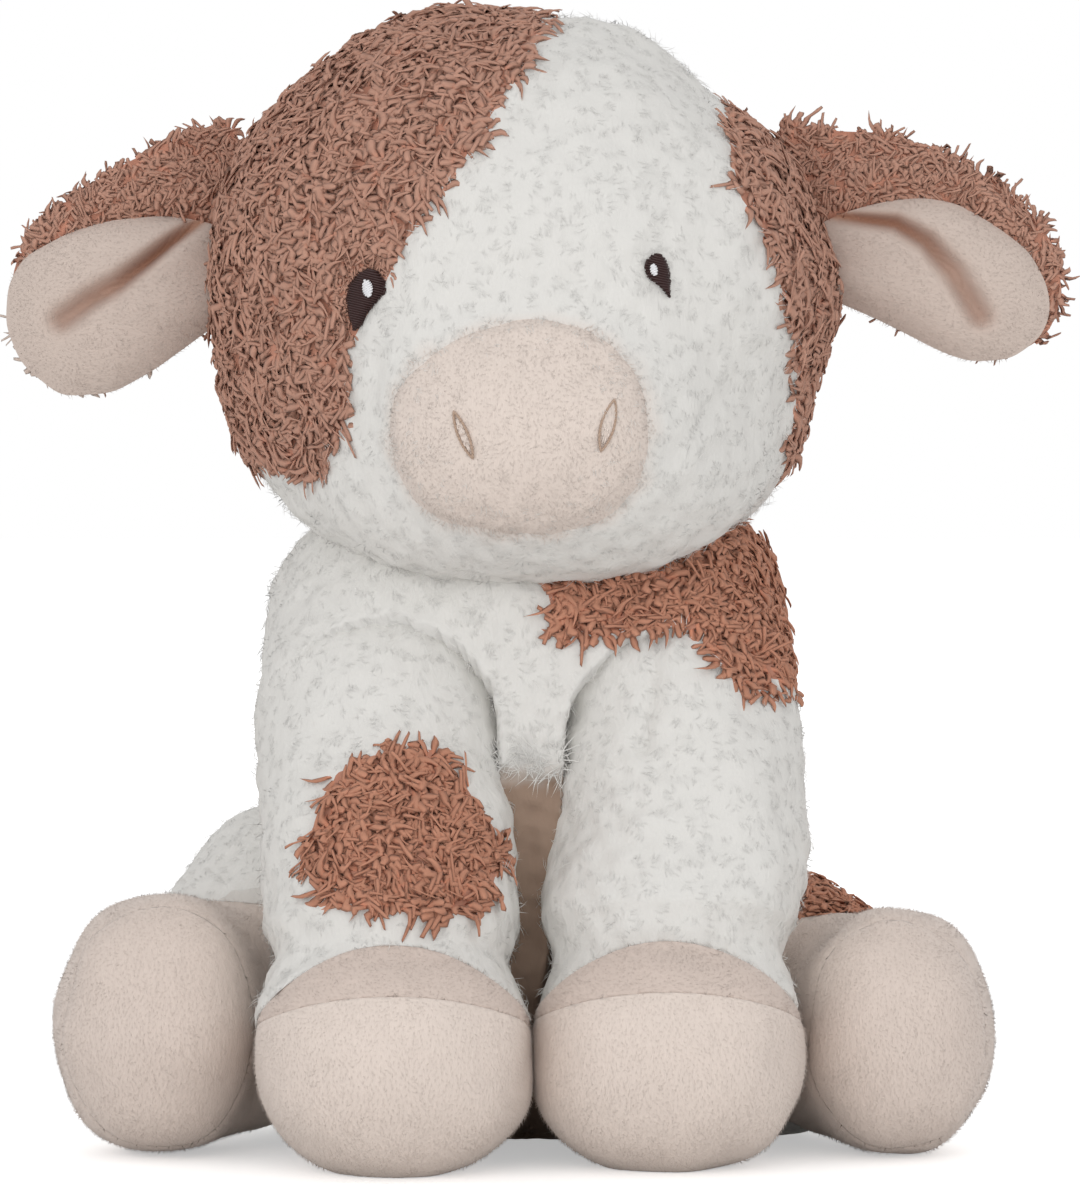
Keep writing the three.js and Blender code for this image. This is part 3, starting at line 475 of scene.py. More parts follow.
def rear_leg_sweep(side):
    """The room that a rear leg takes as it splays."""
    hip = rear_leg_places(side)[0]
    return [turned(rear_leg_form(side), hip, "Z", SIDES[side] * d) for d in (0, 10, 20)]


# Mesh work


def to_frame(points):
    """Millimetres in the model's coordinates to metres in the frame."""
    return (np.asarray(points, float) + ORIGIN) * MM


def to_model(points):
    """Metres in the frame to millimetres in the model's coordinates."""
    return np.asarray(points, float) / MM - ORIGIN


def field(points, size, seed):
    """A smooth uneven field, mostly between -1 and 1, with lumps of a size in millimetres."""
    rng = np.random.default_rng(seed)
    total = np.zeros(len(points))
    for _ in range(FIELD_WAVES):
        direction = rng.normal(size=3)
        direction *= 2 * math.pi / size * rng.uniform(0.6, 1.3) / np.linalg.norm(direction)
        total += np.sin(points @ direction + rng.uniform(0, 2 * math.pi))
    return total / math.sqrt(FIELD_WAVES)


BALLS = {}


def ball(level):
    """Directions and faces of an even ball."""
    if level not in BALLS:
        made = bmesh.new()
        bmesh.ops.create_icosphere(made, subdivisions=level, radius=1)
        made.verts.ensure_lookup_table()
        directions = np.array([v.co for v in made.verts])
        directions /= np.linalg.norm(directions, axis=1)[:, None]
        BALLS[level] = directions, [[v.index for v in f.verts] for f in made.faces]
        made.free()
    return BALLS[level]


def skin_points(form, centre, level, grow=0.0):
    """Points where a form ends, seen from its middle, in even directions."""
    directions, faces = ball(level)
    reach = np.full(len(directions), 1.0)
    moving = np.ones(len(directions), bool)
    while moving.any():
        moving = form(centre + reach[:, None] * directions) < grow
        reach[moving] += 1.0
    low, high = reach - 1.0, reach
    for _ in range(12):
        middle = (low + high) / 2
        inside = form(centre + middle[:, None] * directions) < grow
        low, high = np.where(inside, middle, low), np.where(inside, high, middle)
    return centre + low[:, None] * directions, faces


def drawn_in(points, middle, form, clearance):
    """Draws points in towards a middle until another form has its clearance."""
    inward = middle - points
    inward /= np.linalg.norm(inward, axis=1)[:, None]
    moved = points.copy()
    for stride, most in ((0.8, 200), (-0.1, 7)):
        for _ in range(most):
            going = form(moved) < clearance
            if stride < 0:
                going = ~going & (np.linalg.norm(moved - points, axis=1) > 0.05)
            if not going.any():
                break
            moved[going] += stride * inward[going]
    return moved


def vertex_normals(points, faces):
    """Unit normals of a triangle mesh's points."""
    corners = np.array(faces)
    a, b, c = (points[corners[:, i]] for i in range(3))
    across = np.cross(b - a, c - a)
    normals = np.zeros_like(points)
    for i in range(3):
        np.add.at(normals, corners[:, i], across)
    return normals / np.maximum(np.linalg.norm(normals, axis=1), 1e-9)[:, None]


def puffed(points, faces, lumps, share=1.0):
    """Points pushed out along their normals by a share of lumps."""
    return points + vertex_normals(points, faces) * lumps[:, None] * share


def stuffing_lumps(points, height, size, seed, pucker_seed):
    """Heights of the soft lumps and small puckers in stuffed cloth."""
    lumps = height * field(points, size, seed)
    return lumps + PUCKER_HEIGHT * field(points, PUCKER_SIZE, pucker_seed)


def read_values(items, key, width=1, kind=np.float32):
    """A number or vector for each item of a mesh."""
    flat = np.empty(width * len(items), kind)
    items.foreach_get(key, flat)
    return flat.reshape(-1, width) if width > 1 else flat


def store(mesh, key, values):
    """Keeps a number for each point of a mesh."""
    layer = mesh.attributes.get(key) or mesh.attributes.new(key, "FLOAT", "POINT")
    layer.data.foreach_set("value", np.asarray(values, np.float32))


def new_piece(name, points, faces, material, attributes=None):
    """A smooth mesh piece from points in millimetres."""
    mesh = bpy.data.meshes.new(name)
    mesh.from_pydata(to_frame(points).tolist(), [], [list(map(int, f)) for f in faces])
    mesh.shade_smooth()
    mesh.materials.append(material)
    for key, values in (attributes or {}).items():
        store(mesh, key, values)
    piece = bpy.data.objects.new(name, mesh)
    bpy.context.scene.collection.objects.link(piece)
    return piece


def points_of(piece):
    """A piece's points in millimetres, in the model's coordinates."""
    return to_model(read_values(piece.data.vertices, "co", 3))


def trim(piece, point, direction):
    """Cuts a piece at a plane, drops what lies ahead of it and closes the cut."""
    made = bmesh.new()
    made.from_mesh(piece.data)
    cut = bmesh.ops.bisect_plane(
        made, geom=made.verts[:] + made.edges[:] + made.faces[:], dist=1e-7,
        plane_co=Vector(to_frame(point)), plane_no=Vector(direction), clear_outer=True,
    )
    edges = [e for e in cut["geom_cut"] if isinstance(e, bmesh.types.BMEdge)]
    filled = bmesh.ops.triangle_fill(made, edges=edges, use_beauty=True)
    bmesh.ops.recalc_face_normals(made, faces=made.faces[:])
    for face in made.faces:
        face.smooth = True
    for face in filled["geom"]:
        if isinstance(face, bmesh.types.BMFace):
            face.smooth = False
    made.to_mesh(piece.data)
    made.free()
    return piece


def outline_from(shares, width, height, x=0.0, z=0.0):
    """An outline in millimetres from shares of a width and a height."""
    return np.array([(x + across * width, z + up * height) for across, up in shares])


def inside_outline(outline, across, up):
    """Distance to an outline in millimetres, above zero inside it."""
    outline = np.asarray(outline, float)
    spot = np.stack([across, up], axis=1)
    nearest = np.full(len(spot), 1e9)
    inside = np.zeros(len(spot), bool)
    for a, b in zip(outline, np.roll(outline, -1, axis=0)):
        along = b - a
        share = np.clip((spot - a) @ along / (along @ along), 0, 1)
        nearest = np.minimum(nearest, np.linalg.norm(spot - a - share[:, None] * along, axis=1))
        crosses = (a[1] > spot[:, 1]) != (b[1] > spot[:, 1])
        with np.errstate(divide="ignore", invalid="ignore"):
            at = a[0] + (spot[:, 1] - a[1]) * along[0] / along[1]
        inside ^= crosses & (spot[:, 0] < at)
    return np.where(inside, nearest, -nearest)


def path_distance(path, across, up):
    """Distance to an open path, and how far along it the nearest point lies, from 0 to 1."""
    path = np.asarray(path, float)
    spot = np.stack([across, up], axis=1)
    nearest, place = np.full(len(spot), 1e9), np.zeros(len(spot))
    for step, (a, b) in enumerate(zip(path[:-1], path[1:])):
        along = b - a
        share = np.clip((spot - a) @ along / (along @ along), 0, 1)
        distance = np.linalg.norm(spot - a - share[:, None] * along, axis=1)
        place = np.where(distance < nearest, (step + share) / (len(path) - 1), place)
        nearest = np.minimum(nearest, distance)
    return nearest, place


# Node helpers


def pick_socket(sockets, key):
    """A node's socket by number, or the first one in use with that name."""
    if isinstance(key, int):
        return sockets[key]
    return next(s for s in sockets if s.name == key and s.enabled)


def add_node(tree, kind, inputs=None, **settings):
    """Adds a node, sets it up and links or fills its inputs."""
    made = tree.nodes.new(kind)
    for key, value in settings.items():
        setattr(made, key, value)
    for key, value in (inputs or {}).items():
        socket = pick_socket(made.inputs, key)
        if isinstance(value, bpy.types.NodeSocket):
            tree.links.new(value, socket)
        else:
            socket.default_value = value
    return made


def calculate(tree, operation, first, second=0.0, third=0.0):
    """One sum in a shader or geometry tree."""
    made = add_node(tree, "ShaderNodeMath", {0: first, 1: second, 2: third}, operation=operation)
    return made.outputs[0]


def mixed(tree, factor, first, second, blend="MIX"):
    """Two colours mixed in a shader tree."""
    inputs = {0: factor, 6: first, 7: second}
    made = add_node(tree, "ShaderNodeMix", inputs, data_type="RGBA", blend_type=blend)
    return made.outputs[2]


def noise(tree, place, scale, detail=2.0, output=0, **shape):
    """Noise at a place: its value, or its colour as output 1."""
    inputs = {"Vector": place, "Scale": scale, "Detail": detail, **shape}
    return add_node(tree, "ShaderNodeTexNoise", inputs).outputs[output]


def attribute(tree, name):
    """A piece's own number at each point."""
    return add_node(tree, "ShaderNodeAttribute", attribute_name=name).outputs["Fac"]


def shade_colour(colour, amount):
    """A colour made darker or lighter."""
    return tuple(min(1.0, channel * amount) for channel in colour[:3]) + (1.0,)


def scaled_colour(colour, red, green, blue):
    """A colour with a share of each channel."""
    return (colour[0] * red, colour[1] * green, colour[2] * blue, 1)


def toned(tree, factor, colour, low, high):
    """A colour that runs from a darker to a lighter shade of itself."""
    return mixed(tree, factor, shade_colour(colour, low), shade_colour(colour, high))


def new_material(name, roughness, sheen, gloss=0.15):
    """A material and its tree, ready for colour and bump."""
    material = bpy.data.materials.new(name)
    material.use_nodes = True
    shader = material.node_tree.nodes["Principled BSDF"]
    shader.inputs["Roughness"].default_value = roughness
    shader.inputs["Sheen Weight"].default_value = sheen
    shader.inputs["Sheen Roughness"].default_value = 0.5
    shader.inputs["Specular IOR Level"].default_value = gloss
    return material, material.node_tree


def dressed(material, colour, height, strength, distance):
    """A material, once its colour and bump are linked."""
    tree = material.node_tree
    shader = tree.nodes["Principled BSDF"]
    inputs = {"Strength": strength, "Distance": distance, "Height": height}
    bump = add_node(tree, "ShaderNodeBump", inputs)
    tree.links.new(colour, shader.inputs["Base Color"])
    tree.links.new(bump.outputs[0], shader.inputs["Normal"])
    return material


def coat_material(name, colour, root, depth, tip, middle):
    """Pile that changes along its length, with fine fibres and a shade for each strand."""
    material, tree = new_material(name, 0.9, 0.05)
    place = add_node(tree, "ShaderNodeUVMap", uv_map="OFBake").outputs[0]
    split = add_node(tree, "ShaderNodeSeparateXYZ", {0: place}).outputs
    cells = calculate(tree, "MULTIPLY", split[0], LOCK_CELLS)
    cell = calculate(tree, "DIVIDE", calculate(tree, "FLOOR", cells), LOCK_CELLS - 1)
    ramp = add_node(tree, "ShaderNodeValToRGB", {0: split[1]})
    stops = ramp.color_ramp.elements
    stops[0].color, stops[1].color = root, shade_colour(colour, tip)
    stops.new(0.45).color = shade_colour(colour, middle)
    across, along = (
        calculate(tree, "MULTIPLY", value, stretch)
        for value, stretch in ((cells, 9.0), (split[1], 1.6))
    )
    lay = add_node(tree, "ShaderNodeCombineXYZ", {0: across, 1: along}).outputs[0]
    fibre = noise(tree, lay, 1.0)
    dark = calculate(tree, "MULTIPLY_ADD", cell, depth, 1 - 0.6 * depth)
    streak = calculate(tree, "MULTIPLY_ADD", fibre, 2 * depth, 1 - depth)
    level = calculate(tree, "MULTIPLY", dark, streak)
    grey = add_node(tree, "ShaderNodeCombineColor", {0: level, 1: level, 2: level}).outputs[0]
    base = mixed(tree, 1.0, ramp.outputs[0], grey, "MULTIPLY")
    return dressed(material, base, fibre, 0.35, 0.0002)


def velour_material(name, colour, lay=(1.0, 1.0, 0.28), fold=None):
    """Short brushed pile: fine streaks along its lay, soft blotches, and painted shade in a fold."""
    material, tree = new_material(name, 0.88, 0.25)
    where = add_node(tree, "ShaderNodeTexCoord").outputs["Object"]
    stretch = add_node(tree, "ShaderNodeMapping", {"Vector": where, "Scale": lay}).outputs[0]
    streaks = noise(tree, stretch, 2600.0, 3.0, Roughness=0.6)
    wisps = noise(tree, stretch, 700.0, 3.0, Distortion=0.6)
    brushed = noise(tree, where, 110.0, Distortion=0.4)
    fine, broad = (toned(tree, part, colour, 0.86, 1.12) for part in (streaks, wisps))
    soft = toned(tree, brushed, colour, 0.93, 1.06)
    base = mixed(tree, 0.45, mixed(tree, 0.5, fine, broad), soft)
    # Painted shade: a darker colour mixed in where the piece's fold attribute marks a crease
    if fold:
        base = mixed(tree, attribute(tree, "fold"), base, fold)
    return dressed(material, base, calculate(tree, "ADD", streaks, wisps), 0.35, 0.0004)


def thread_material(name, colour, sheen=0.3):
    """Rayon thread: twisted, with a soft gloss."""
    material, tree = new_material(name, 0.42, sheen, 0.4)
    where = add_node(tree, "ShaderNodeTexCoord").outputs["Object"]
    twist = noise(tree, where, 5200.0)
    return dressed(material, toned(tree, twist, colour, 0.75, 1.3), twist, 0.3, 0.0001)


def backing_material(name, colour, grain=1500.0, distance=0.0002, uneven=0.02, others=None):
    """Fleece under the pile, or plain cloth; others are its patches, muzzle edge and the painted
    shade of the belly.
    """
    material, tree = new_material(name, 0.95, 0.1)
    where = add_node(tree, "ShaderNodeTexCoord").outputs["Object"]
    hung = add_node(
        tree, "ShaderNodeVectorMath", {0: where, 1: (1.0, 1.0, 0.35)}, operation="MULTIPLY"
    ).outputs[0]
    knit = noise(tree, hung, grain, Distortion=1.2)
    clouds = noise(tree, hung, 0.3 * grain, 3.0, Distortion=0.8)
    base = toned(tree, clouds, colour, 1 - uneven, 1 + uneven)
    if others:
        patch, muzzle, belly = others
        edge = calculate(tree, "GREATER_THAN", attribute(tree, "patch"), 0.0)
        base = mixed(tree, edge, base, toned(tree, clouds, patch, 0.7, 1.3))
        base = mixed(tree, attribute(tree, "muzzle"), base, muzzle)
        # Painted shade: a dark colour where the belly lies in the hollow between the front legs
        base = mixed(tree, attribute(tree, "belly"), base, belly)
    fleece = calculate(tree, "MULTIPLY_ADD", knit, 0.35, clouds)
    return dressed(material, base, fleece, 0.5, distance)


MATERIALS = {}


def finish_of(name):
    """One of the cow's finishes, made when it is first needed."""
    if name in MATERIALS:
        return MATERIALS[name]
    colours = bpy.context.scene.cow_colours
    white, brown, low_brown, velour, lining = (
        tuple(getattr(colours, key)) for key in ("white", "brown", "body_brown", "velour", "lining")
    )
    # A darker copy of the velour for the insteps: painted shade on the tops of the front feet
    instep = scaled_colour(velour, 0.87, 0.84, 0.83)
    # A darker copy of the velour for the rear feet: painted shade
    rear = scaled_colour(velour, 0.93, 0.915, 0.91)
    # The brown of the backing under brown locks, tinted deeper red: painted shade for the gaps
    # between locks
    under = scaled_colour(brown, 1.0, 0.85, 0.8)
    # Painted light: the brown locks' roots are lighter than their tips, to lift the shade between
    # locks
    root, low_root = (scaled_colour(c, 1.3, 1.12, 1.05) for c in (brown, low_brown))
    nap = (0.03, 1.02, 1.0)
    fleece = (900.0, 0.0006)
    maker, *settings = {
        # Painted light: the white locks are lighter than the white backing under them, against their
        # shade
        "white_coat": (coat_material, white, shade_colour(white, 1.06), 0.015, 1.12, 1.1),
        "brown_coat": (coat_material, brown, root, 0.1, 1.06, 0.96),
        "body_brown_coat": (coat_material, low_brown, low_root, 0.1, 1.1, 0.96),
        "velour_nap": (coat_material, velour, velour, *nap),
        "instep_nap": (coat_material, instep, instep, *nap),
        "rear_nap": (coat_material, rear, rear, *nap),
        "lining_nap": (coat_material, lining, lining, *nap),
        "velour": (velour_material, velour),
        "instep_velour": (velour_material, instep, (0.5, 0.5, 1.0)),
        "rear_velour": (velour_material, rear),
        # The ear lining, with painted shade in its fold: its second colour is the lining darkened
        "lining_velour": (
            velour_material, lining, (0.3, 1.0, 1.0), scaled_colour(lining, 0.6, 0.36, 0.26)
        ),
        "eye_thread": (thread_material, tuple(colours.eye), 0.0),
        "highlight_thread": (thread_material, tuple(colours.highlight)),
        "nostril_thread": (thread_material, tuple(colours.nostril)),
        "filling_thread": (thread_material, shade_colour(velour, 0.97)),
        # The backing's third other colour is painted shade for the belly between the front legs
        "backing": (
            backing_material, white, *fleece, 0.02, (under, velour, (0.33, 0.235, 0.178, 1))
        ),
        "brown_backing": (backing_material, under, *fleece, 0.3),
        "calico": (backing_material, (0.78, 0.72, 0.62, 1)),
        "fibre": (backing_material, (0.85, 0.84, 0.82, 1)),
    }[name]
    MATERIALS[name] = maker(name, *settings)
    return MATERIALS[name]


# The coat


# Rise at the root and droop at the tip in degrees, wave and bend as shares of the length, how
# much a strand is shaded like its skin and how far it strays in radians, and for each strand
# its place and width as shares of the lock's width, and its length
LOCK_SHAPES = {
    "lock": {
        "rise": (18, 38), "droop": (-50, -16), "wave": 0.24, "bend": 0.9, "steps": 4, "lean": 0.9,
        "thick": 0.34, "stray": 1.3, "strands": ((-0.27, 0.66, 0.88), (0.25, 0.62, 1.0)),
    },
    "fluff": {
        "rise": (10, 28), "droop": (-22, 0), "wave": 0.15, "bend": 0.7, "steps": 2, "lean": 6.0,
        "thick": 0.6, "stray": 3.1,
        "strands": ((-0.5, 0.065, 0.85), (-0.05, 0.075, 1.0), (0.42, 0.065, 0.92)),
    },
    "wisp": {
        "rise": (26, 50), "droop": (-6, 22), "wave": 0.1, "bend": 0.5, "steps": 2, "thick": 0.6,
        "strands": ((-0.5, 0.07, 1.0), (0.05, 0.08, 1.15), (0.45, 0.07, 1.05)),
    },
    "nap": {
        "rise": (26, 50), "droop": (0, 20), "wave": 0.0, "bend": 0.3, "steps": 1, "lean": 6.0,
        "thick": 0.7, "stray": 0.7, "strands": ((0.0, 1.0, 1.0),),
    },
}


def fibre_rows(look, rng, length, width):
    """Thin three-sided fibres that fan out from one root and bend over, as rings of points."""
    steps = look["steps"]
    for place, wide, reach in look["strands"]:
        bow, wave = look["bend"] * rng.uniform(-1, 1), look["wave"] * rng.uniform(-1, 1)
        steep, droop = (math.radians(rng.uniform(*look[key])) for key in ("rise", "droop"))
        spot = np.array([place * width * rng.uniform(0.5, 1.3), 0.0, -0.05 * length])
        rows = []
        for step in range(steps + 1):
            share = step / steps
            sway = (bow * share**2 + wave * math.sin(math.pi * share)) * length
            centre, half = spot + (sway, 0, 0), width * wide / 2 * (1 - 0.35 * share)
            around = [
                (half * math.cos(turn), 0, look["thick"] * half * math.sin(turn))
                for turn in (math.radians(90), math.radians(210), math.radians(330))
            ]
            ends = [(0, 0, 0)] if step == steps else around
            rows.append(([centre + end for end in ends], share))
            rise = steep + (droop - steep) * share
            stride = reach * length / steps
            spot = spot + (0, math.cos(rise) * stride, math.sin(rise) * stride)
        yield rows, [(0.1, 0.9)] * 3


def lock_rows(look, rng, length, width):
    """Flattened strands side by side that rise, bend over and wave together, as rings."""
    wave, bow = look["wave"] * rng.uniform(0.6, 1.3), look["bend"] * rng.uniform(-1, 1)
    turns, phase = rng.uniform(0.7, 1.3), rng.uniform(0, 2 * math.pi)
    steep, droop = (math.radians(rng.uniform(*look[key])) for key in ("rise", "droop"))
    steps = look["steps"]
    for place, wide, reach in look["strands"]:
        fan, own_bow = place * rng.uniform(0.8, 2.2), bow + rng.uniform(-0.3, 0.3)
        own_rise, own_wave = steep + rng.uniform(-0.12, 0.12), wave + rng.uniform(-0.03, 0.03)
        roll = math.radians(-40) * place + rng.uniform(-0.3, 0.3)
        spot = np.array([place * width, 0.0, -0.06 * length])
        rows = []
        for step in range(steps + 1):
            share = (step / steps) ** 0.55
            sway = own_wave * math.sin(2 * math.pi * turns * share + phase) * share
            sway = (sway + own_bow * share**2) * length + fan * width * share * 0.7
            half = width * wide / 2 * math.sin(math.pi * (0.2 + 0.58 * share)) ** 0.6
            side = np.array([math.cos(roll), 0, math.sin(roll)]) * half
            proud = np.array([-math.sin(roll), 0, math.cos(roll)]) * half * look["thick"]
            centre = spot + (sway, 0, 0)
            ends = [centre - side, centre + proud, centre + side]
            rows.append(([centre] if step == steps else ends, share))
            rise = own_rise + (droop - own_rise) * share**1.25
            stride = reach * length * (((step + 1) / steps) ** 0.55 - share)
            spot = spot + (0, math.cos(rise) * stride, math.sin(rise) * stride)
        left, middle, right = (
            0.05 + 0.9 * min(max(0.5 + place + off * wide, 0), 1) for off in (-0.5, 0.0, 0.5)
        )
        yield rows, [(left, middle), (middle, right), (left, right)]


def strand_mesh(kind, name, rng, length, width):
    """One shape of pile: closed strands, each with its place on the coat's map."""
    made = bmesh.new()
    layer = made.loops.layers.uv.new("OFBake")
    maker = lock_rows if kind == "lock" else fibre_rows
    for rows, edges in maker(LOCK_SHAPES[kind], rng, length, width):
        rings = [([made.verts.new(point) for point in ends], share) for ends, share in rows]
        for (low, v_low), (high, v_high) in zip(rings, rings[1:]):
            for side, (left, right) in enumerate(edges):
                after = (side + 1) % 3
                top = [high[after], high[side]] if len(high) > 1 else high
                face = made.faces.new([low[side], low[after]] + top)
                face.smooth = True
                spots = [(left, v_low), (right, v_low), (right, v_high), (left, v_high)]
                for loop, spot in zip(face.loops, spots):
                    loop[layer].uv = spot
    bmesh.ops.recalc_face_normals(made, faces=made.faces[:])
    mesh = bpy.data.meshes.new(name)
    made.to_mesh(mesh)
    made.free()
    return mesh


def strands_for(kind):
    """The collection of strand shapes that the pile tree picks from."""
    name = "strands_" + kind
    if name in bpy.data.collections:
        return bpy.data.collections[name]
    group = bpy.data.collections.new(name)
    rng = np.random.default_rng(11)
    sizes = bpy.context.scene.cow_coat
    length, width = getattr(sizes, kind + "_length"), getattr(sizes, kind + "_width")
    for index in range(STRAND_SHAPES):
        habit = "wisp" if kind == "fluff" and index >= FLUFF_SHAPES else kind
        label = f"{kind}_{index}"
        shape = strand_mesh(habit, label, rng, length, width)
        group.objects.link(bpy.data.objects.new(label, shape))
    return group


PILE_SETTINGS = {
    "Spacing": "Float", "Swirl size": "Float", "Combed down": "Float", "Uneven": "Float",
    "Stray": "Float", "Size": "Float", "Seed": "Int", "Strands": "Collection",
    "Finish": "Material",
}


def pile_tree():
    """The geometry tree that plants strands on a skin, laid in swirls, and joins them."""
    if "pile" in bpy.data.node_groups:
        return bpy.data.node_groups["pile"]
    tree = bpy.data.node_groups.new("pile", "GeometryNodeTree")
    for way in ("INPUT", "OUTPUT"):
        tree.interface.new_socket("Geometry", in_out=way, socket_type="NodeSocketGeometry")
    for name, kind in PILE_SETTINGS.items():
        tree.interface.new_socket(name, in_out="INPUT", socket_type="NodeSocket" + kind)
    given = tree.nodes.new("NodeGroupInput").outputs

    def add(kind, inputs=None, **settings):
        return add_node(tree, kind, inputs, **settings).outputs

    def total(operation, *values):
        return calculate(tree, operation, *values)

    room = total("MULTIPLY", given["Spacing"], given["Spacing"])
    spread = add(
        "GeometryNodeDistributePointsOnFaces",
        {
            "Mesh": given["Geometry"], "Distance Min": given["Spacing"],
            "Density Max": total("DIVIDE", 3.0, room), "Seed": given["Seed"],
        },
        distribute_method="POISSON",
    )
    keep = add("GeometryNodeInputNamedAttribute", {"Name": "keep"}, data_type="FLOAT")
    gone = add(
        "FunctionNodeCompare", {0: keep[0], 1: 0.0}, data_type="FLOAT", operation="LESS_THAN"
    )
    planted = add(
        "GeometryNodeDeleteGeometry", {"Geometry": spread["Points"], "Selection": gone[0]},
        domain="POINT",
    )
    lined = add(
        "GeometryNodeStoreNamedAttribute",
        {"Geometry": planted[0], "Name": "skin_normal", "Value": spread["Normal"]},
        data_type="FLOAT_VECTOR", domain="POINT",
    )
    where = add("GeometryNodeInputPosition")[0]
    scale = total("DIVIDE", 1.0, given["Swirl size"])
    swirls = noise(tree, where, scale, 1.0, output=1)
    lumpy = total("SUBTRACT", noise(tree, where, total("MULTIPLY", scale, 0.6), 1.0), 0.5)
    centred = add("ShaderNodeVectorMath", {0: swirls, 1: (0.5, 0.5, 0.5)}, operation="SUBTRACT")
    even = add("ShaderNodeVectorMath", {0: centred[0]}, operation="NORMALIZE")
    down = add("ShaderNodeCombineXYZ", {2: total("MULTIPLY", given["Combed down"], -1.0)})
    lay = add("ShaderNodeVectorMath", {0: even[0], 1: down[0]}, operation="ADD")
    upright = add("FunctionNodeAlignRotationToVector", {"Vector": spread["Normal"]}, axis="Z")
    laid = add(
        "FunctionNodeAlignRotationToVector", {"Rotation": upright[0], "Vector": lay[0]},
        axis="Y", pivot_axis="Z",
    )
    least, most = (
        add(
            "ShaderNodeCombineXYZ",
            {0: sign * 0.22, 1: sign * 0.18, 2: total("MULTIPLY", given["Stray"], sign)},
        )[0]
        for sign in (-1.0, 1.0)
    )
    stray = add("FunctionNodeRandomValue", {0: least, 1: most, 8: 5}, data_type="FLOAT_VECTOR")
    strayed = add("FunctionNodeEulerToRotation", {0: stray[0]})
    turn = add("FunctionNodeRotateRotation", {0: laid[0], 1: strayed[0]}, rotation_space="LOCAL")
    chance, tint = (
        add("FunctionNodeRandomValue", {2: low, 3: high, 8: seed}, data_type="FLOAT")[1]
        for low, high, seed in ((-0.5, 0.5, 9), (0.0, 1.0, 21))
    )
    spare = total("MULTIPLY_ADD", total("MULTIPLY_ADD", lumpy, 2.4, chance), given["Uneven"], 1.0)
    shapes = add(
        "GeometryNodeCollectionInfo",
        {"Collection": given["Strands"], "Separate Children": True, "Reset Children": True},
    )
    planting = add(
        "GeometryNodeInstanceOnPoints",
        {
            "Points": lined[0], "Instance": shapes[0], "Pick Instance": True,
            "Rotation": turn[0], "Scale": total("MULTIPLY", spare, given["Size"]),
        },
    )
    mottled = total("MULTIPLY_ADD", lumpy, 1.6, total("MULTIPLY", tint, 0.999))
    stored = add(
        "GeometryNodeStoreNamedAttribute",
        {"Geometry": planting[0], "Name": "shade", "Value": mottled},
        data_type="FLOAT", domain="INSTANCE",
    )
    solid = add("GeometryNodeRealizeInstances", {0: stored[0]})
    done = add("GeometryNodeSetMaterial", {"Geometry": solid[0], "Material": given["Finish"]})
    tree.links.new(done[0], tree.nodes.new("NodeGroupOutput").inputs[0])
    return tree


def grow_pile(name, skin, keep, finish, strands=None, size=1.0, combed=0.35, spacing=1.0):
    """Grows pile on a skin where keep is above zero, and returns the finished mesh pieces."""
    sizes = bpy.context.scene.cow_coat
    fluffy = finish == "white_coat"
    strands = strands or ("fluff" if fluffy else "lock")
    least = sizes.nap_spacing if strands == "nap" else sizes.spacing * (1.75 if fluffy else 0.88)
    look = LOCK_SHAPES[strands]
    material = finish_of(finish)
    settings = {
        "Spacing": least * spacing, "Swirl size": sizes.swirl * (1.5 if fluffy else 1.0),
        "Combed down": combed, "Uneven": 0.15 if fluffy else 0.3, "Stray": look["stray"],
        "Size": size, "Seed": sizes.seed + sum(map(ord, name)),
        "Strands": strands_for(strands), "Finish": material,
    }
    ground = skin.copy()
    ground.data = skin.data.copy()
    bpy.context.scene.collection.objects.link(ground)
    store(ground.data, "keep", keep)
    modifier = ground.modifiers.new("pile", "NODES")
    modifier.node_group = pile_tree()
    for item in modifier.node_group.interface.items_tree:
        if item.in_out == "INPUT" and item.name in settings:
            modifier[item.identifier] = settings[item.name]
    graph = bpy.context.evaluated_depsgraph_get()
    mesh = bpy.data.meshes.new_from_object(ground.evaluated_get(graph), depsgraph=graph)
    ground.modifiers.remove(modifier)
    bpy.data.objects.remove(ground)
    return finish_pile(name, mesh, material, look["lean"])


def lean_normals(piece, strength):
    """Shades strands more like the skin that they grow on, as light scatters in dense pile."""
    mesh = piece.data
    own = read_values(mesh.vertex_normals, "vector", 3)
    skin = read_values(mesh.attributes["skin_normal"].data, "vector", 3)
    mesh.attributes.remove(mesh.attributes["skin_normal"])
    facing = (own * skin).sum(axis=1)
    agree = np.clip(facing if strength < 1 else (1 + facing) / 2, 0, 1)
    leaned = own + strength * agree[:, None] * skin
    leaned /= np.maximum(np.linalg.norm(leaned, axis=1), 1e-6)[:, None]
    mesh.normals_split_custom_set_from_vertices(leaned)


def finish_pile(name, mesh, material, lean):
    """Keeps pile off the floor, gives each strand its cell of colour and splits what is large."""
    points = read_values(mesh.vertices, "co", 3)
    points[:, 2] = np.maximum(points[:, 2], 0.1 * MM)
    mesh.vertices.foreach_set("co", points.ravel())
    shade = read_values(mesh.attributes["shade"].data, "value")
    cell = np.floor(np.clip(shade, 0, 0.999) * LOCK_CELLS)
    corners = read_values(mesh.loops, "vertex_index", kind=np.int32)
    uv = mesh.attributes["OFBake"]
    places = read_values(uv.data, "vector", 2)
    places[:, 0] = (cell[corners] + places[:, 0]) / LOCK_CELLS
    uv.data.foreach_set("vector", places.ravel())
    mesh.attributes.remove(mesh.attributes["shade"])
    mesh.materials.clear()
    mesh.materials.append(material)
    mesh.update()
    mesh.name = name
    whole = bpy.data.objects.new(name, mesh)
    bpy.context.scene.collection.objects.link(whole)
    parts = math.ceil(2 * len(mesh.polygons) / FACE_LIMIT)
    pieces = [whole] if parts < 2 else split_pile(whole, parts)
    for piece in pieces:
        lean_normals(piece, lean)
    return pieces


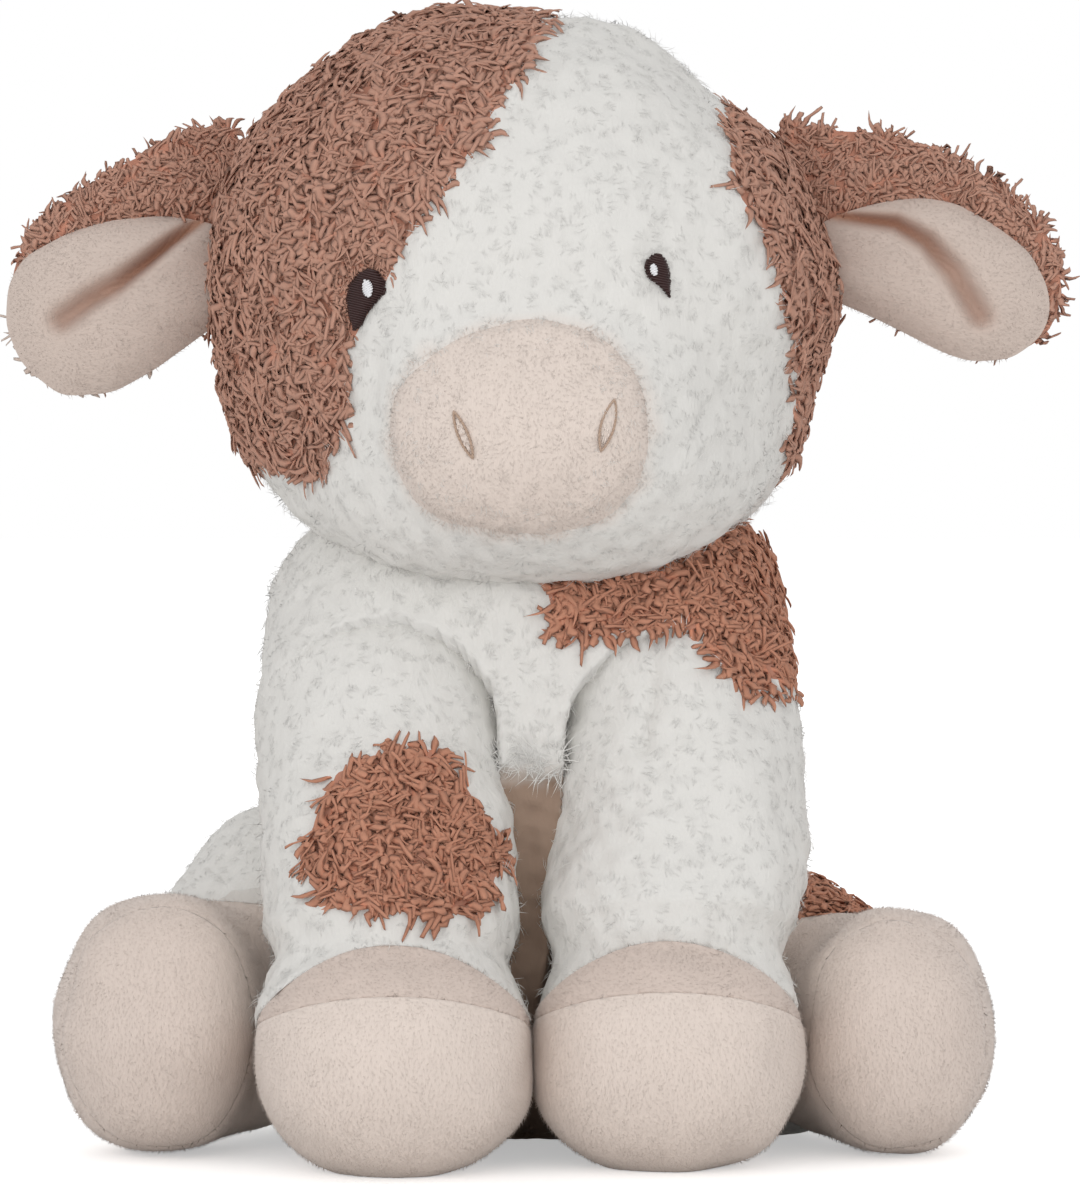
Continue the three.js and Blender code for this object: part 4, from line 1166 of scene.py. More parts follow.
def split_pile(whole, parts):
    """Cuts a large coat from front to back into pieces of whole strands."""
    depth = read_values(whole.data.vertices, "co", 3)[:, 1]
    edges = read_values(whole.data.edges, "vertices", 2, np.int32)
    strand = np.arange(len(depth))
    while True:
        least = strand.copy()
        np.minimum.at(least, edges[:, 0], strand[edges[:, 1]])
        np.minimum.at(least, edges[:, 1], strand[edges[:, 0]])
        least = least[least]
        if (least == strand).all():
            break
        strand = least
    root = depth[strand]
    limits = np.quantile(root, np.linspace(0, 1, parts + 1))
    band = np.clip(np.searchsorted(limits, root, side="right") - 1, 0, parts - 1)
    pieces = []
    for index in range(parts):
        part = whole if index == parts - 1 else whole.copy()
        part.data = whole.data.copy()
        part.name = part.data.name = f"{whole.name}_{index + 1}"
        if part is not whole:
            bpy.context.scene.collection.objects.link(part)
        cut = bmesh.new()
        cut.from_mesh(part.data)
        cut.verts.ensure_lookup_table()
        others = [v for v in cut.verts if band[v.index] != index]
        bmesh.ops.delete(cut, geom=others, context="VERTS")
        cut.to_mesh(part.data)
        cut.free()
        pieces.append(part)
    return pieces


def attach(pieces, body, blend=None):
    """Fastens pieces to a body, or, given a blend, leaves them unfastened with their placing baked
    in.
    """
    for piece in pieces if isinstance(pieces, list) else [pieces]:
        if blend:
            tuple(blend[1])
            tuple(blend[2])
            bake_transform(piece)
        else:
            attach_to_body(piece, body)


def outside(points, *forms, depth=0.0):
    """How far points lie outside other forms, below zero where those hide them."""
    return np.minimum.reduce([form(points) for form in forms]) + depth


def ragged_edge(points):
    """How far a patch's edge strays from its outline."""
    return RAGGED_HEIGHT * field(points, RAGGED_SIZE, RAGGED_SEED)


def boxed(node, squeeze=0.0):
    """A rounded skin inside a solid's box: its points and faces, its middle and half its sizes."""
    low, high = (to_model(corner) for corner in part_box(node))
    centre, half = (low + high) / 2, (high - low) / 2
    points, faces = skin_points(rounded(centre, half - squeeze), centre, COARSE)
    return points, faces, centre, half


# Operators, one for each group of pieces


class COW_OT_head(bpy.types.Operator):
    """Sews and stuffs the head and grows its white and brown coat"""

    bl_idname = "cow.head"
    bl_label = "Head"

    def execute(self, context):
        local, faces = skin_points(head_skin_form, np.zeros(3), FINE, COAT_ROOT)
        local = puffed(local, faces, stuffing_lumps(local, *LUMPS["head"]))
        patch = np.full(len(local), -FAR)
        ragged = 0.5 * field(local, RAGGED_SIZE, RAGGED_SEED)
        for shares in HEAD_PATCH_SHARES.values():
            outline = outline_from(shares, HEAD_RADII[0], HEAD_RADII[2])
            patch = np.maximum(patch, inside_outline(outline, local[:, 0], local[:, 2]))
        patch += 2.2 * field(local, 26, 14) * np.clip((local[:, 1] + 12) / 16, 0, 1)
        muzzle = muzzle_edge(local) + 0.3 * field(local, 6, 33)
        skin = new_piece(
            "head_skin", from_head(local), faces, finish_of("backing"),
            {"patch": patch, "muzzle": np.clip(1.0 - 0.35 * muzzle, 0, 1)},
        )
        eyes = np.full(len(local), FAR)
        for outline in EYE_OUTLINE.values():
            gap = -inside_outline(outline, local[:, 0], local[:, 2])
            eyes = np.minimum(eyes, np.where(local[:, 1] < 0, gap, FAR))
        neck = outside(from_head(local), torso_form, depth=4)
        is_brown, is_white = patch - ragged, ragged - patch

        def white_where(room):
            return np.minimum.reduce([muzzle - room[0], eyes - room[1], neck, is_white])

        white_room = white_where(WHITE_ROOM)
        white = grow_pile("head_coat_white", skin, white_room, "white_coat")
        brown_room = np.minimum.reduce([eyes - BROWN_ROOM, neck, is_brown])
        brown = grow_pile("head_coat_brown", skin, brown_room, "brown_coat")
        edge = np.minimum(white_where(WHITE_EDGE), -white_room)
        white += grow_pile("face_edge_white", skin, edge, "white_coat", size=0.7, spacing=0.6)
        edge = np.minimum.reduce([eyes - BROWN_EDGE, neck, is_brown, -brown_room])
        brown += grow_pile("face_edge_brown", skin, edge, "brown_coat", size=0.48, spacing=0.6)
        edge = np.minimum(1.9 - muzzle, muzzle - 1.0)
        blush = grow_pile(
            "muzzle_edge_nap", skin, edge, "velour_nap", "nap", size=1.3, combed=0.0
        )
        attach([skin] + white, "head")
        attach(brown, "head")
        attach(blush, "head")
        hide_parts("face_panel", "head_patch_right", "head_patch_left", "head_stuffing")
        return {"FINISHED"}


class COW_OT_muzzle(bpy.types.Operator):
    """Sews and stuffs the short-pile muzzle"""

    bl_idname = "cow.muzzle"
    bl_label = "Muzzle"

    def execute(self, context):
        local, faces = skin_points(muzzle_skin_form, MUZZLE_CENTRE, MIDDLE)
        local = puffed(local, faces, field(local, 14, 5), 0.25)
        skin = new_piece("muzzle_skin", from_head(local), faces, finish_of("velour"))
        front = np.minimum(outside(local, head_skin_form) - COAT_ROOT + 0.2, 1.0)
        nap = grow_pile("muzzle_nap", skin, front, "velour_nap", "nap", size=1.2, combed=0.6)
        rim = np.minimum(front + 0.6, muzzle_edge(local) - 0.5 + 0.3 * field(local, 4, 35))
        ruff = grow_pile("muzzle_edge_white", skin, rim, "white_coat", size=0.7, spacing=1.1)
        attach(ruff, "head")
        attach([skin] + nap, "head")
        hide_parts("muzzle_panel", "muzzle_stuffing")
        return {"FINISHED"}


def front_of(form, across, up):
    """Where a form's front lies at places across and up."""
    low, high = np.full(len(across), -90.0), np.full(len(across), -20.0)
    for _ in range(30):
        middle = (low + high) / 2
        inside = form(np.stack([across, middle, up], axis=1)) < 0
        low, high = np.where(inside, low, middle), np.where(inside, middle, high)
    return high


def stitch_mesh(name, stitches, radius, finish, sides=6, steps=7):
    """Satin stitches: bowed threads between pairs of points in the head's coordinates."""
    points, faces = [], []
    for start, end, bow in stitches:
        start, end = np.asarray(start, float), np.asarray(end, float)
        along = (end - start) / max(np.linalg.norm(end - start), 1e-6)
        out = np.array([0, -1, 0]) + along * along[1]
        out /= np.linalg.norm(out)
        across = np.cross(along, out)
        first = len(points)
        for step in range(steps + 1):
            share = step / steps
            middle = start + (end - start) * share + out * bow * math.sin(math.pi * share) ** 0.6
            thin = radius * (0.35 + 0.65 * math.sin(math.pi * share) ** 0.4)
            for side in range(sides):
                turn = 2 * math.pi * side / sides
                points.append(middle + thin * (across * math.cos(turn) + out * math.sin(turn)))
        for step in range(steps):
            for side in range(sides):
                a, b = first + step * sides + side, first + step * sides + (side + 1) % sides
                faces.append((a, b, b + sides, a + sides))
        faces.append(tuple(first + side for side in reversed(range(sides))))
        faces.append(tuple(first + steps * sides + side for side in range(sides)))
    return new_piece(name, from_head(np.array(points)), faces, finish_of(finish))


def satin(outline, slant, gap, lift, form=head_skin_form):
    """Pairs of points where slanted stitches cross an outline, lifted off the backing."""
    outline = np.asarray(outline, float)
    middle = outline.mean(axis=0)
    along = np.array([math.cos(slant), math.sin(slant)])
    across = np.array([-along[1], along[0]])
    reach = (outline - middle) @ across
    stitches = []
    for offset in np.arange(reach.min() + gap / 2, reach.max(), gap):
        hits = []
        for a, b in zip(outline, np.roll(outline, -1, axis=0)):
            da, db = (a - middle) @ across - offset, (b - middle) @ across - offset
            if da * db < 0:
                hits.append(a + (b - a) * da / (da - db))
        if len(hits) >= 2:
            hits.sort(key=lambda spot: spot @ along)
            ends = np.array([hits[0], hits[-1]])
            depth = front_of(form, ends[:, 0], ends[:, 1]) - lift
            stitches.append(tuple(np.stack([ends[:, 0], depth, ends[:, 1]], axis=1)))
    return stitches


class COW_OT_eyes(bpy.types.Operator):
    """Embroiders the eyes in satin stitch, with a white highlight on each"""

    bl_idname = "cow.eyes"
    bl_label = "Eyes"

    def execute(self, context):
        for side, outline in EYE_OUTLINE.items():
            under = [(a, b, 0.5) for a, b in satin(outline, 1.2, 0.42, COAT_ROOT + 0.6)]
            over = [(a, b, 0.9) for a, b in satin(outline, -0.3, 0.4, COAT_ROOT + 1.1)]
            eye = stitch_mesh(f"eye_stitches_{side}", under + over, 0.26, "eye_thread")
            attach(eye, "head")
            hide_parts(f"eye_{side}")
            across, up, half_width, half_height = HIGHLIGHT[side]
            turns = np.linspace(0, 2 * math.pi, 12, endpoint=False)
            oval = [
                (across + half_width * math.cos(turn), up + half_height * math.sin(turn))
                for turn in turns
            ]
            shine = [(a, b, 0.25) for a, b in satin(oval, 0.5, 0.36, COAT_ROOT + 2.4)]
            spot = stitch_mesh(f"highlight_stitches_{side}", shine, 0.24, "highlight_thread")
            attach(spot, "head")
            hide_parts(f"eye_highlight_{side}")
        return {"FINISHED"}


class COW_OT_nostrils(bpy.types.Operator):
    """Embroiders the two nostrils as pointed outlines of short stitches"""

    bl_idname = "cow.nostrils"
    bl_label = "Nostrils"

    def execute(self, context):
        for side, (top, bottom) in NOSTRIL_ENDS.items():
            top, bottom = np.array(top), np.array(bottom)
            along = bottom - top
            across = np.array([-along[1], along[0]]) / np.linalg.norm(along)
            loop = []
            for sign in (1, -1):
                for share in np.linspace(0, 1, 12, endpoint=False):
                    place = share if sign > 0 else 1 - share
                    wide = NOSTRIL_WIDTH[side] / 2 * math.sin(math.pi * place) ** 0.8
                    loop.append(top + along * place + across * sign * wide)
            loop = np.array(loop)
            depth = front_of(muzzle_skin_form, loop[:, 0], loop[:, 1]) - 0.3
            path = np.stack([loop[:, 0], depth, loop[:, 1]], axis=1)
            stitches = [
                (a + (a - b) * 0.25, b + (b - a) * 0.25, 0.22)
                for a, b in zip(path, np.roll(path, -1, axis=0))
            ]
            piece = stitch_mesh(
                f"nostril_stitches_{side}", stitches, 0.24, "nostril_thread", steps=4
            )
            inner = []
            for offset in (-0.3, -0.1, 0.1, 0.3):
                shares = 0.5 + np.linspace(-1, 1, 5) * (0.42 - 0.6 * abs(offset))
                row = top + along * shares[:, None] + across * offset * NOSTRIL_WIDTH[side] * 0.8
                deep = front_of(muzzle_skin_form, row[:, 0], row[:, 1]) - 0.12
                line = np.stack([row[:, 0], deep, row[:, 1]], axis=1)
                inner += [(a, b, 0.1) for a, b in zip(line, line[1:])]
            filling = stitch_mesh(f"nostril_filling_{side}", inner, 0.2, "filling_thread", steps=4)
            attach([filling, piece], "head")
            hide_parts(f"nostril_{side}")
        return {"FINISHED"}


def ear_frame(side):
    """An ear's sewn root, and its directions outward, back and up, in millimetres."""
    joint = JOINTS[f"ear_{side}_swing"]
    up = np.array(joint["axis"])
    back = np.array(HEAD_TURN) @ np.array([0, 1, 0])
    out = np.cross(back, up) * SIDES[side]
    return np.array(joint["pos_m"]) / MM - ORIGIN, np.stack([out, back, up])


def smooth_outline(outline, count):
    """An outline as many even, rounded steps."""
    outline = np.asarray(outline, float)
    closed = np.vstack([outline, outline[:1]])
    length = np.concatenate([[0], np.cumsum(np.linalg.norm(np.diff(closed, axis=0), axis=1))])
    places = np.linspace(0, length[-1], count, endpoint=False)
    points = np.stack([np.interp(places, length, closed[:, i]) for i in range(2)], axis=1)
    for _ in range(count // 24):
        points = (np.roll(points, 1, axis=0) + 2 * points + np.roll(points, -1, axis=0)) / 4
    return points


def pad_points(outline, rings, count):
    """Even places across an outline from its middle to its edge, both faces sharing the edge."""
    edge = smooth_outline(outline, count)
    middle = edge.mean(axis=0)
    flat, share = [middle], [0.0]
    for ring in range(1, rings + 1):
        part = math.sin(math.pi / 2 * ring / rings)
        flat.extend(middle + part * (edge - middle))
        share.extend([part] * count)
    return np.array(flat), np.array(share)


def pad_faces(rings, count):
    """Faces of a pad's front and back, which share the last ring."""
    total = 1 + rings * count
    inner = total - count

    def vertex(face, ring, index):
        if ring == 0:
            return face * inner if face == 0 else total
        place = 1 + (ring - 1) * count + index % count
        return place if face == 0 or ring == rings else total + place

    faces = []
    for face in (0, 1):
        for index in range(count):
            for ring in range(rings):
                a, b = vertex(face, ring, index), vertex(face, ring, index + 1)
                c, d = vertex(face, ring + 1, index), vertex(face, ring + 1, index + 1)
                corners = [a, c, d] if ring == 0 else [a, c, d, b]
                faces.append(corners if face == 0 else corners[::-1])
    return faces


def ear_pad(name, side, outline, depths, finish):
    """A stuffed pad with given depths of its front and back faces, in an ear's own place."""
    (front_depth, back_depth), rings, count = depths, EAR_RINGS, EAR_ROUND
    flat, share = pad_points(outline, rings, count)
    front = np.stack([flat[:, 0], front_depth(flat, share), flat[:, 1]], axis=1)
    inner = slice(0, 1 + (rings - 1) * count)
    back = np.stack([flat[:, 0], back_depth(flat, share), flat[:, 1]], axis=1)[inner]
    local = np.vstack([front, back])
    root, axes = ear_frame(side)
    piece = new_piece(name, local @ axes + root, pad_faces(rings, count), finish_of(finish))
    made = bmesh.new()
    made.from_mesh(piece.data)
    bmesh.ops.recalc_face_normals(made, faces=made.faces[:])
    made.to_mesh(piece.data)
    made.free()
    return piece, local


class COW_OT_ears(bpy.types.Operator):
    """Sews the ears: a furred back that wraps over the top edge, and a folded short-pile lining"""

    bl_idname = "cow.ears"
    bl_label = "Ears"

    def execute(self, context):
        def cup(flat):
            return -EAR_CUP * np.sin(math.pi * np.clip(flat[:, 0] / EAR_LENGTH, 0, 1))

        def lining_back(flat, share):
            return -0.9 + 0 * share + cup(flat)

        def back_back(flat, share):
            return 3.4 * (1 - share**3) - 0.6 + cup(flat)

        for side, fold in EAR_FOLD.items():

            def lining_front(flat, share):
                distance, place = path_distance(fold, flat[:, 0], flat[:, 1])
                wide = 0.85 + 1.0 * place
                crease = (6.3 - 2.2 * place) * np.exp(-((distance / wide) ** 2))
                dome = 5.0 * (1 - share**3.5)
                return -2.6 - dome + crease * (1 - share**6) + cup(flat)

            def back_front(flat, share):
                lip = inside_outline(EAR_LINING[side], flat[:, 0], flat[:, 1])
                roll = np.clip(1 - np.abs(lip + 4) / 6, 0, 1)
                return -0.7 - 3.0 * roll * (1 - share**8) + cup(flat)

            lining, local = ear_pad(
                f"ear_velour_{side}", side, EAR_LINING[side], (lining_front, lining_back),
                "lining_velour",
            )
            # Painted shade along the lining's fold crease, on its front face, fading towards the
            # fold's far end
            distance, place = path_distance(fold, local[:, 0], local[:, 2])
            fold_shade_fade = np.clip(1.3 - 0.8 * place, 0, 1) * (local[:, 1] < -2.0)
            store(lining.data, "fold", fold_shade_fade * np.exp(-((distance / (1.0 + 1.2 * place)) ** 2)))
            back, shell = ear_pad(
                f"ear_skin_{side}", side, EAR_BACK[side], (back_front, back_back), "brown_backing"
            )
            covered = inside_outline(EAR_LINING[side], shell[:, 0], shell[:, 2])
            keep = np.where(shell[:, 1] < cup(shell) - 0.3, 0.3 - covered, 1.0)
            coat = grow_pile(
                f"ear_coat_{side}", back, keep, "brown_coat", size=0.72, combed=0.0, spacing=0.85
            )
            nap_keep = np.where((local[:, 1] < -3.2) & (distance > 2.0), 1.0, -1.0)
            nap = grow_pile(f"ear_nap_{side}", lining, nap_keep, "lining_nap", "nap", combed=0.2)
            body = f"ear_{side}"
            spots = EAR_TUFTS.get(side, [])
            if spots:
                places = points_of(back)[:, (0, 2)]
                near = np.min([np.linalg.norm(places - spot, axis=1) for spot in spots], axis=0)
                nap += grow_pile(
                    f"ear_tufts_{side}", back, 2.0 - near, "lining_nap", "lock", size=0.75,
                    combed=2.5, spacing=0.9,
                )
            attach([lining] + nap, body)
            attach([back] + coat, body)
            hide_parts(f"ear_lining_{side}")
            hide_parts(f"ear_back_{side}")
        return {"FINISHED"}


class COW_OT_torso(bpy.types.Operator):
    """Sews and stuffs the torso and grows its coat, with the brown patch on the left shoulder and
    painted shade on the belly
    """

    bl_idname = "cow.torso"
    bl_label = "Torso"

    def execute(self, context):
        form = let_out(torso_form, torso_letting)
        for side in SIDES:
            form = blended(form, rounded(front_leg_places(side)[0], (18.0, 18.0, 18.0)), 11)
        legs = [front_leg_form(side) for side in SIDES]
        legs += [rear_leg_skin_form(side) for side in SIDES]
        head = in_head(head_skin_form)
        centre = np.array([0.0, 10.0, 59.0])
        points, faces = skin_points(form, centre, FINE, COAT_ROOT)
        points = puffed(points, faces, stuffing_lumps(points, *LUMPS["torso"]))
        before = points
        for room in legs + [head]:
            points = drawn_in(points, centre, room, REST_CLEARANCE)
        hidden = np.linalg.norm(points - before, axis=1)
        for room in [r for side in SIDES for r in front_leg_sweep(side) + rear_leg_sweep(side)]:
            points = drawn_in(points, centre, room, SWEEP_CLEARANCE)
        points[:, 2] = np.maximum(points[:, 2], 0.0)
        outline = outline_from(SHOULDER_PATCH_SHARES, CHEST[1][0], 118)
        patch = inside_outline(outline, points[:, 0], points[:, 2])
        behind = CHEST[0][1] + 8.5 + 0.35 * (points[:, 2] - 95) + 3.5 * field(points, 24, 12)
        patch = np.minimum(patch, behind - points[:, 1])
        # The belly between the front legs: pushed back, painted dark as shade and left bare of coat
        belly = np.minimum(BELLY_TOP - points[:, 2], BELLY_HALF - np.abs(points[:, 0]))
        belly = np.where(points[:, 1] < 0, belly + 0.8 * field(points, 4, 9), -FAR)
        points[:, 1] += BELLY_DEPTH * np.clip(belly / 14, 0, 1) ** 1.5
        skin = new_piece(
            "torso_skin", points, faces, finish_of("backing"),
            {"patch": patch, "belly": np.clip((belly + 1) / 5, 0, 1)},
        )
        bare = np.minimum.reduce([3.0 - hidden, points[:, 2] - 1.5, 2.0 - belly])
        ragged = ragged_edge(points)
        white = grow_pile("torso_coat_white", skin, np.minimum(bare, ragged - patch), "white_coat")
        room = np.minimum(bare, patch - ragged)
        brown = grow_pile("torso_coat_brown", skin, room, "body_brown_coat")
        fringe = np.minimum.reduce([belly + 3.0, 2.0 - belly, 4.0 - hidden])
        white += grow_pile(
            "belly_edge_white", skin, fringe, "white_coat", size=1.5, combed=4.0, spacing=0.42
        )
        attach([skin] + white, "torso")
        attach(brown, "torso")
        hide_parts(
            "torso_panel_right", "torso_panel_left", "shoulder_patch", "torso_stuffing"
        )
        return {"FINISHED"}


class COW_OT_inner_pieces(bpy.types.Operator):
    """Makes the pellet bag in the seat and the stuffed neck, which the coat hides"""

    bl_idname = "cow.inner_pieces"
    bl_label = "Pellet bag and neck"

    def execute(self, context):
        points, faces, centre, half = boxed("seat_pellet_bag")
        seam = 0.8 * np.exp(-((((points - centre) / half)[:, 2] / 0.08) ** 2))
        lumps = 0.35 * field(points, 4.5, 12) - 0.4 + seam
        points = puffed(points, faces, lumps, 0.6)
        bag = new_piece("seat_pellet_bag_sewn", points, faces, finish_of("calico"))
        attach(bag, "torso")
        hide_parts("seat_pellet_bag")
        points, faces, _, _ = boxed("neck_stuffing")
        points = puffed(points, faces, field(points, 5, 13), 0.3)
        neck = new_piece("neck_stuffed", points, faces, finish_of("fibre"))
        attach(neck, "neck")
        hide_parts("neck_stuffing")
        return {"FINISHED"}


def seam_plane(y, z, tilt_degrees):
    """A plane across a limb, and its upward direction, that rises towards the back."""
    tilt = math.radians(tilt_degrees)
    return np.array([0.0, y, z]), np.array([0.0, -math.sin(tilt), math.cos(tilt)])


def above(points, plane):
    """How far points lie above a plane."""
    return (points - plane[0]) @ plane[1]


def rolled_edge(points, normals, distance, depth):
    """Draws cloth in where it is turned over at a seam, with small puckers."""
    reach = 1.1
    pucker = 1 + 0.45 * field(points, 3.2, 17)
    return points - normals * (depth * pucker * np.exp(-np.abs(distance) / reach))[:, None]


def arched(points, middle, drop):
    """Points bent up beside a limb's middle, so that a straight cut becomes an arch."""
    bent = points.copy()
    bent[:, 2] += drop * ((points[:, 0] - middle) / 20) ** 2
    return bent


def reshape(piece, points):
    """Moves a piece's points to places in millimetres."""
    piece.data.vertices.foreach_set("co", to_frame(points).astype(np.float32).ravel())
    piece.data.update()


def sewn_part(name, points, faces, finish, seams, middle=0.0):
    """A piece of a limb between seams: each a plane, its kept side, its arch and its roll."""
    normals = vertex_normals(points, faces)
    shaped = points.copy()
    for plane, side, drop, roll in seams:
        shaped = rolled_edge(shaped, normals, above(arched(points, middle, drop), plane), roll)
    shaped[:, 2] = np.maximum(shaped[:, 2], 0.05)
    piece = new_piece(name, shaped, faces, finish_of(finish))
    for plane, side, drop, roll in seams:
        reshape(piece, arched(points_of(piece), middle, drop))
        trim(piece, plane[0], -side * plane[1])
        reshape(piece, arched(points_of(piece), middle, -drop))
    return piece


def leg_blend(pivot, foot):
    """The torso's name and two points along the leg, before and after the shoulder."""
    along = (foot - pivot) / np.linalg.norm(foot - pivot)
    return ("torso", to_frame(pivot - 8 * along), to_frame(pivot + 10 * along))


def fur_leg(name, legs, bare, patch, brown_name, body, blend=None):
    """Grows a leg's white coat and its brown patch, and fastens them to its body, or, given a blend,
    only bakes their placing in.
    """
    store(legs.data, "patch", patch)
    ragged = ragged_edge(points_of(legs))
    coat = grow_pile(name, legs, np.minimum(bare, ragged - patch), "white_coat")
    attach([legs] + coat, body, blend)
    if brown_name:
        brown = grow_pile(brown_name, legs, np.minimum(bare, patch - ragged), "body_brown_coat")
        attach(brown, body, blend)


def finish_feet(parts, body):
    """Grows the nap of a foot's pieces, each with its finish and combing, and fastens them."""
    nap = []
    for piece, finish, lay in parts:
        keep = np.minimum(points_of(piece)[:, 2] - 0.8, 1.0)
        nap += grow_pile(piece.name + "_nap", piece, keep, finish, "nap", combed=lay)
    attach([part[0] for part in parts] + nap, body)


class COW_OT_front_legs(bpy.types.Operator):
    """Sews and stuffs the front legs, with short-pile feet and a brown patch on the right knee"""

    bl_idname = "cow.front_legs"
    bl_label = "Front legs"

    def execute(self, context):
        for side, sign in SIDES.items():
            forward, body = FOOT_FORWARD[side], f"front_leg_{side}"
            shoulder, ankle, foot = front_leg_places(side)
            form = front_leg_form(side)
            centre = np.array([foot[0], ankle[1], 46.5])
            fur_seam, face_seam = (
                seam_plane(y - forward, z, tilt) for y, z, tilt in (FUR_SEAM, FACE_SEAM)
            )
            slim = let_out(form, lambda p: COAT_ROOT * np.clip(above(p, fur_seam) / 7, 0.1, 1))
            full = let_out(slim, lambda p: swelling(p, side, 30, 10, LEG_LETTING[side]))
            points, faces = skin_points(full, centre, MIDDLE)
            lumps = stuffing_lumps(points, *LUMPS[body])
            if side == "left":
                distance = path_distance(LEG_CREASE, points[:, 0], points[:, 2])[0]
                lumps -= 1.1 * np.exp(-((distance / 1.5) ** 2)) * (points[:, 1] < shoulder[1])
            points = puffed(points, faces, lumps)
            legs = sewn_part(
                f"front_leg_skin_{side}", points, faces, "backing",
                [(fur_seam, 1, FUR_ARCH, 0.8)], foot[0],
            )
            low, low_faces = skin_points(form, foot, MIDDLE, 0.8)
            low = puffed(low, low_faces, field(low, FOOT_LUMP, 9 + sign), 0.35)
            # The instep takes the darker velour, painted shade on the foot's top
            upper = sewn_part(
                f"front_instep_{side}", low, low_faces, "instep_velour",
                [(face_seam, 1, FACE_ARCH, 0.35), (fur_seam, -1, FUR_ARCH, 0.0)], foot[0],
            )
            face = sewn_part(
                f"front_toe_{side}", low, low_faces, "velour",
                [(face_seam, -1, FACE_ARCH, 0.2)], foot[0],
            )
            spots = points_of(legs)
            bare = outside(spots, torso_form, depth=3)
            bare = np.minimum(bare, above(arched(spots, foot[0], FUR_ARCH), fur_seam) + 0.3)
            patch = inside_outline(LEG_PATCHES[side], spots[:, 0], spots[:, 2])
            if side == "right":
                patch = np.where(spots[:, 1] < (ankle[1] + shoulder[1]) / 2, patch, -5)
            brown_name = {"right": "knee_coat_brown", "left": "shoulder_coat_brown"}[side]
            fur_leg(
                f"front_leg_coat_white_{side}", legs, bare, patch, brown_name, body,
                leg_blend(shoulder, ankle),
            )
            if side == "right":
                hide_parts("knee_patch_right")
            finish_feet([(upper, "instep_nap", 0.2), (face, "velour_nap", 1.4)], body)
            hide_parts(f"front_leg_{side}", f"front_leg_stuffing_{side}")
            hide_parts(f"front_foot_upper_{side}")
            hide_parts(f"front_foot_sole_{side}")
        return {"FINISHED"}


def front_plane(y):
    """An upright plane across a foot, with its direction towards the back."""
    return np.array([0.0, y, 22.0]), np.array([0.0, 1.0, 0.0])


class COW_OT_rear_legs(bpy.types.Operator):
    """Sews and stuffs the rear legs, which lie to the sides with their soles forward"""

    bl_idname = "cow.rear_legs"
    bl_label = "Rear legs"

    def execute(self, context):
        for side, sign in SIDES.items():
            body = f"rear_leg_{side}"
            hip, _, foot = rear_leg_places(side)
            leg_seam, sole_seam = front_plane(REAR_FUR_SEAM), front_plane(REAR_SOLE_SEAM)
            centre = (hip + foot) / 2 + np.array([0, 2.0, 0])
            points, faces = skin_points(rear_leg_skin_form(side), centre, MIDDLE, COAT_ROOT)
            points = puffed(points, faces, stuffing_lumps(points, *LUMPS[body]))
            low, low_faces = skin_points(rear_leg_form(side), foot, MIDDLE, -0.9)
            low = puffed(low, low_faces, field(low, FOOT_LUMP, 19 + sign), 0.4)
            move, stretch = REAR_FOOT_FIT[side]
            low = foot + move + (low - foot) * stretch
            for room in front_leg_sweep(side):
                points = drawn_in(points, centre, room, REAR_SKIN_CLEARANCE)
                low = drawn_in(low, foot + (sign * 6.0, 0, 0), room, REAR_FOOT_CLEARANCE)
            legs = sewn_part(
                f"rear_leg_skin_{side}", points, faces, "backing", [(leg_seam, 1, 0.0, 0.8)]
            )
            # Both parts of a rear foot take the darker velour, painted shade
            upper = sewn_part(
                f"rear_instep_{side}", low, low_faces, "rear_velour",
                [(sole_seam, 1, 0.0, 0.3), (leg_seam, -1, 0.0, 0.0)],
            )
            sole = sewn_part(
                f"rear_sole_{side}", low, low_faces, "rear_velour", [(sole_seam, -1, 0.0, 0.15)]
            )
            spots = points_of(legs)
            patch = np.full(len(spots), -FAR)
            if side == "left":
                outline = outline_from(THIGH_PATCH_SHARES, 25, 50, hip[0] + 50 / 3, 12.5)
                patch = inside_outline(outline, spots[:, 0], spots[:, 2])
                patch = np.where(spots[:, 1] < 6, patch, -5)
            bare = np.minimum.reduce([
                outside(spots, torso_form, depth=3), above(spots, leg_seam) - 1.5,
                spots[:, 2] - 1.5,
            ])
            brown_name = "thigh_coat_brown" if side == "left" else None
            fur_leg(f"rear_leg_coat_white_{side}", legs, bare, patch, brown_name, body)
            if side == "left":
                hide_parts("thigh_patch_left")
            finish_feet([(upper, "rear_nap", 0.2), (sole, "rear_nap", 1.4)], body)
            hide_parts(f"rear_leg_{side}", f"rear_leg_stuffing_{side}")
            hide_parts(f"rear_foot_upper_{side}")
            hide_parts(f"rear_foot_sole_{side}")
        return {"FINISHED"}


class COW_OT_tail(bpy.types.Operator):
    """Makes the furred tail and its brown tuft"""

    bl_idname = "cow.tail"
    bl_label = "Tail"

    def execute(self, context):
        root = np.array(JOINTS["tail_wag"]["pos_m"]) / MM - ORIGIN
        end = root + (0, 9, -21)
        points, faces = skin_points(tapered(root, end, 4.2, 4.2), (root + end) / 2, COARSE)
        tail = new_piece("tail_skin", points, faces, finish_of("backing"))
        keep = np.minimum(torso_form(points) + 1, points[:, 2] - 1)
        coat = grow_pile("tail_coat_white", tail, keep, "white_coat", size=0.55, combed=1.5)
        points, faces, _, _ = boxed("tail_tuft", 1.2)
        tuft = new_piece("tail_tuft_skin", points, faces, finish_of("brown_backing"))
        locks = grow_pile(
            "tail_tuft_coat", tuft, points[:, 2] - 0.8, "brown_coat", size=0.8, combed=2.0
        )
        attach([tail] + coat, "tail")
        attach([tuft] + locks, "tail")
        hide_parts("tail")
        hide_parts("tail_tuft")
        return {"FINISHED"}


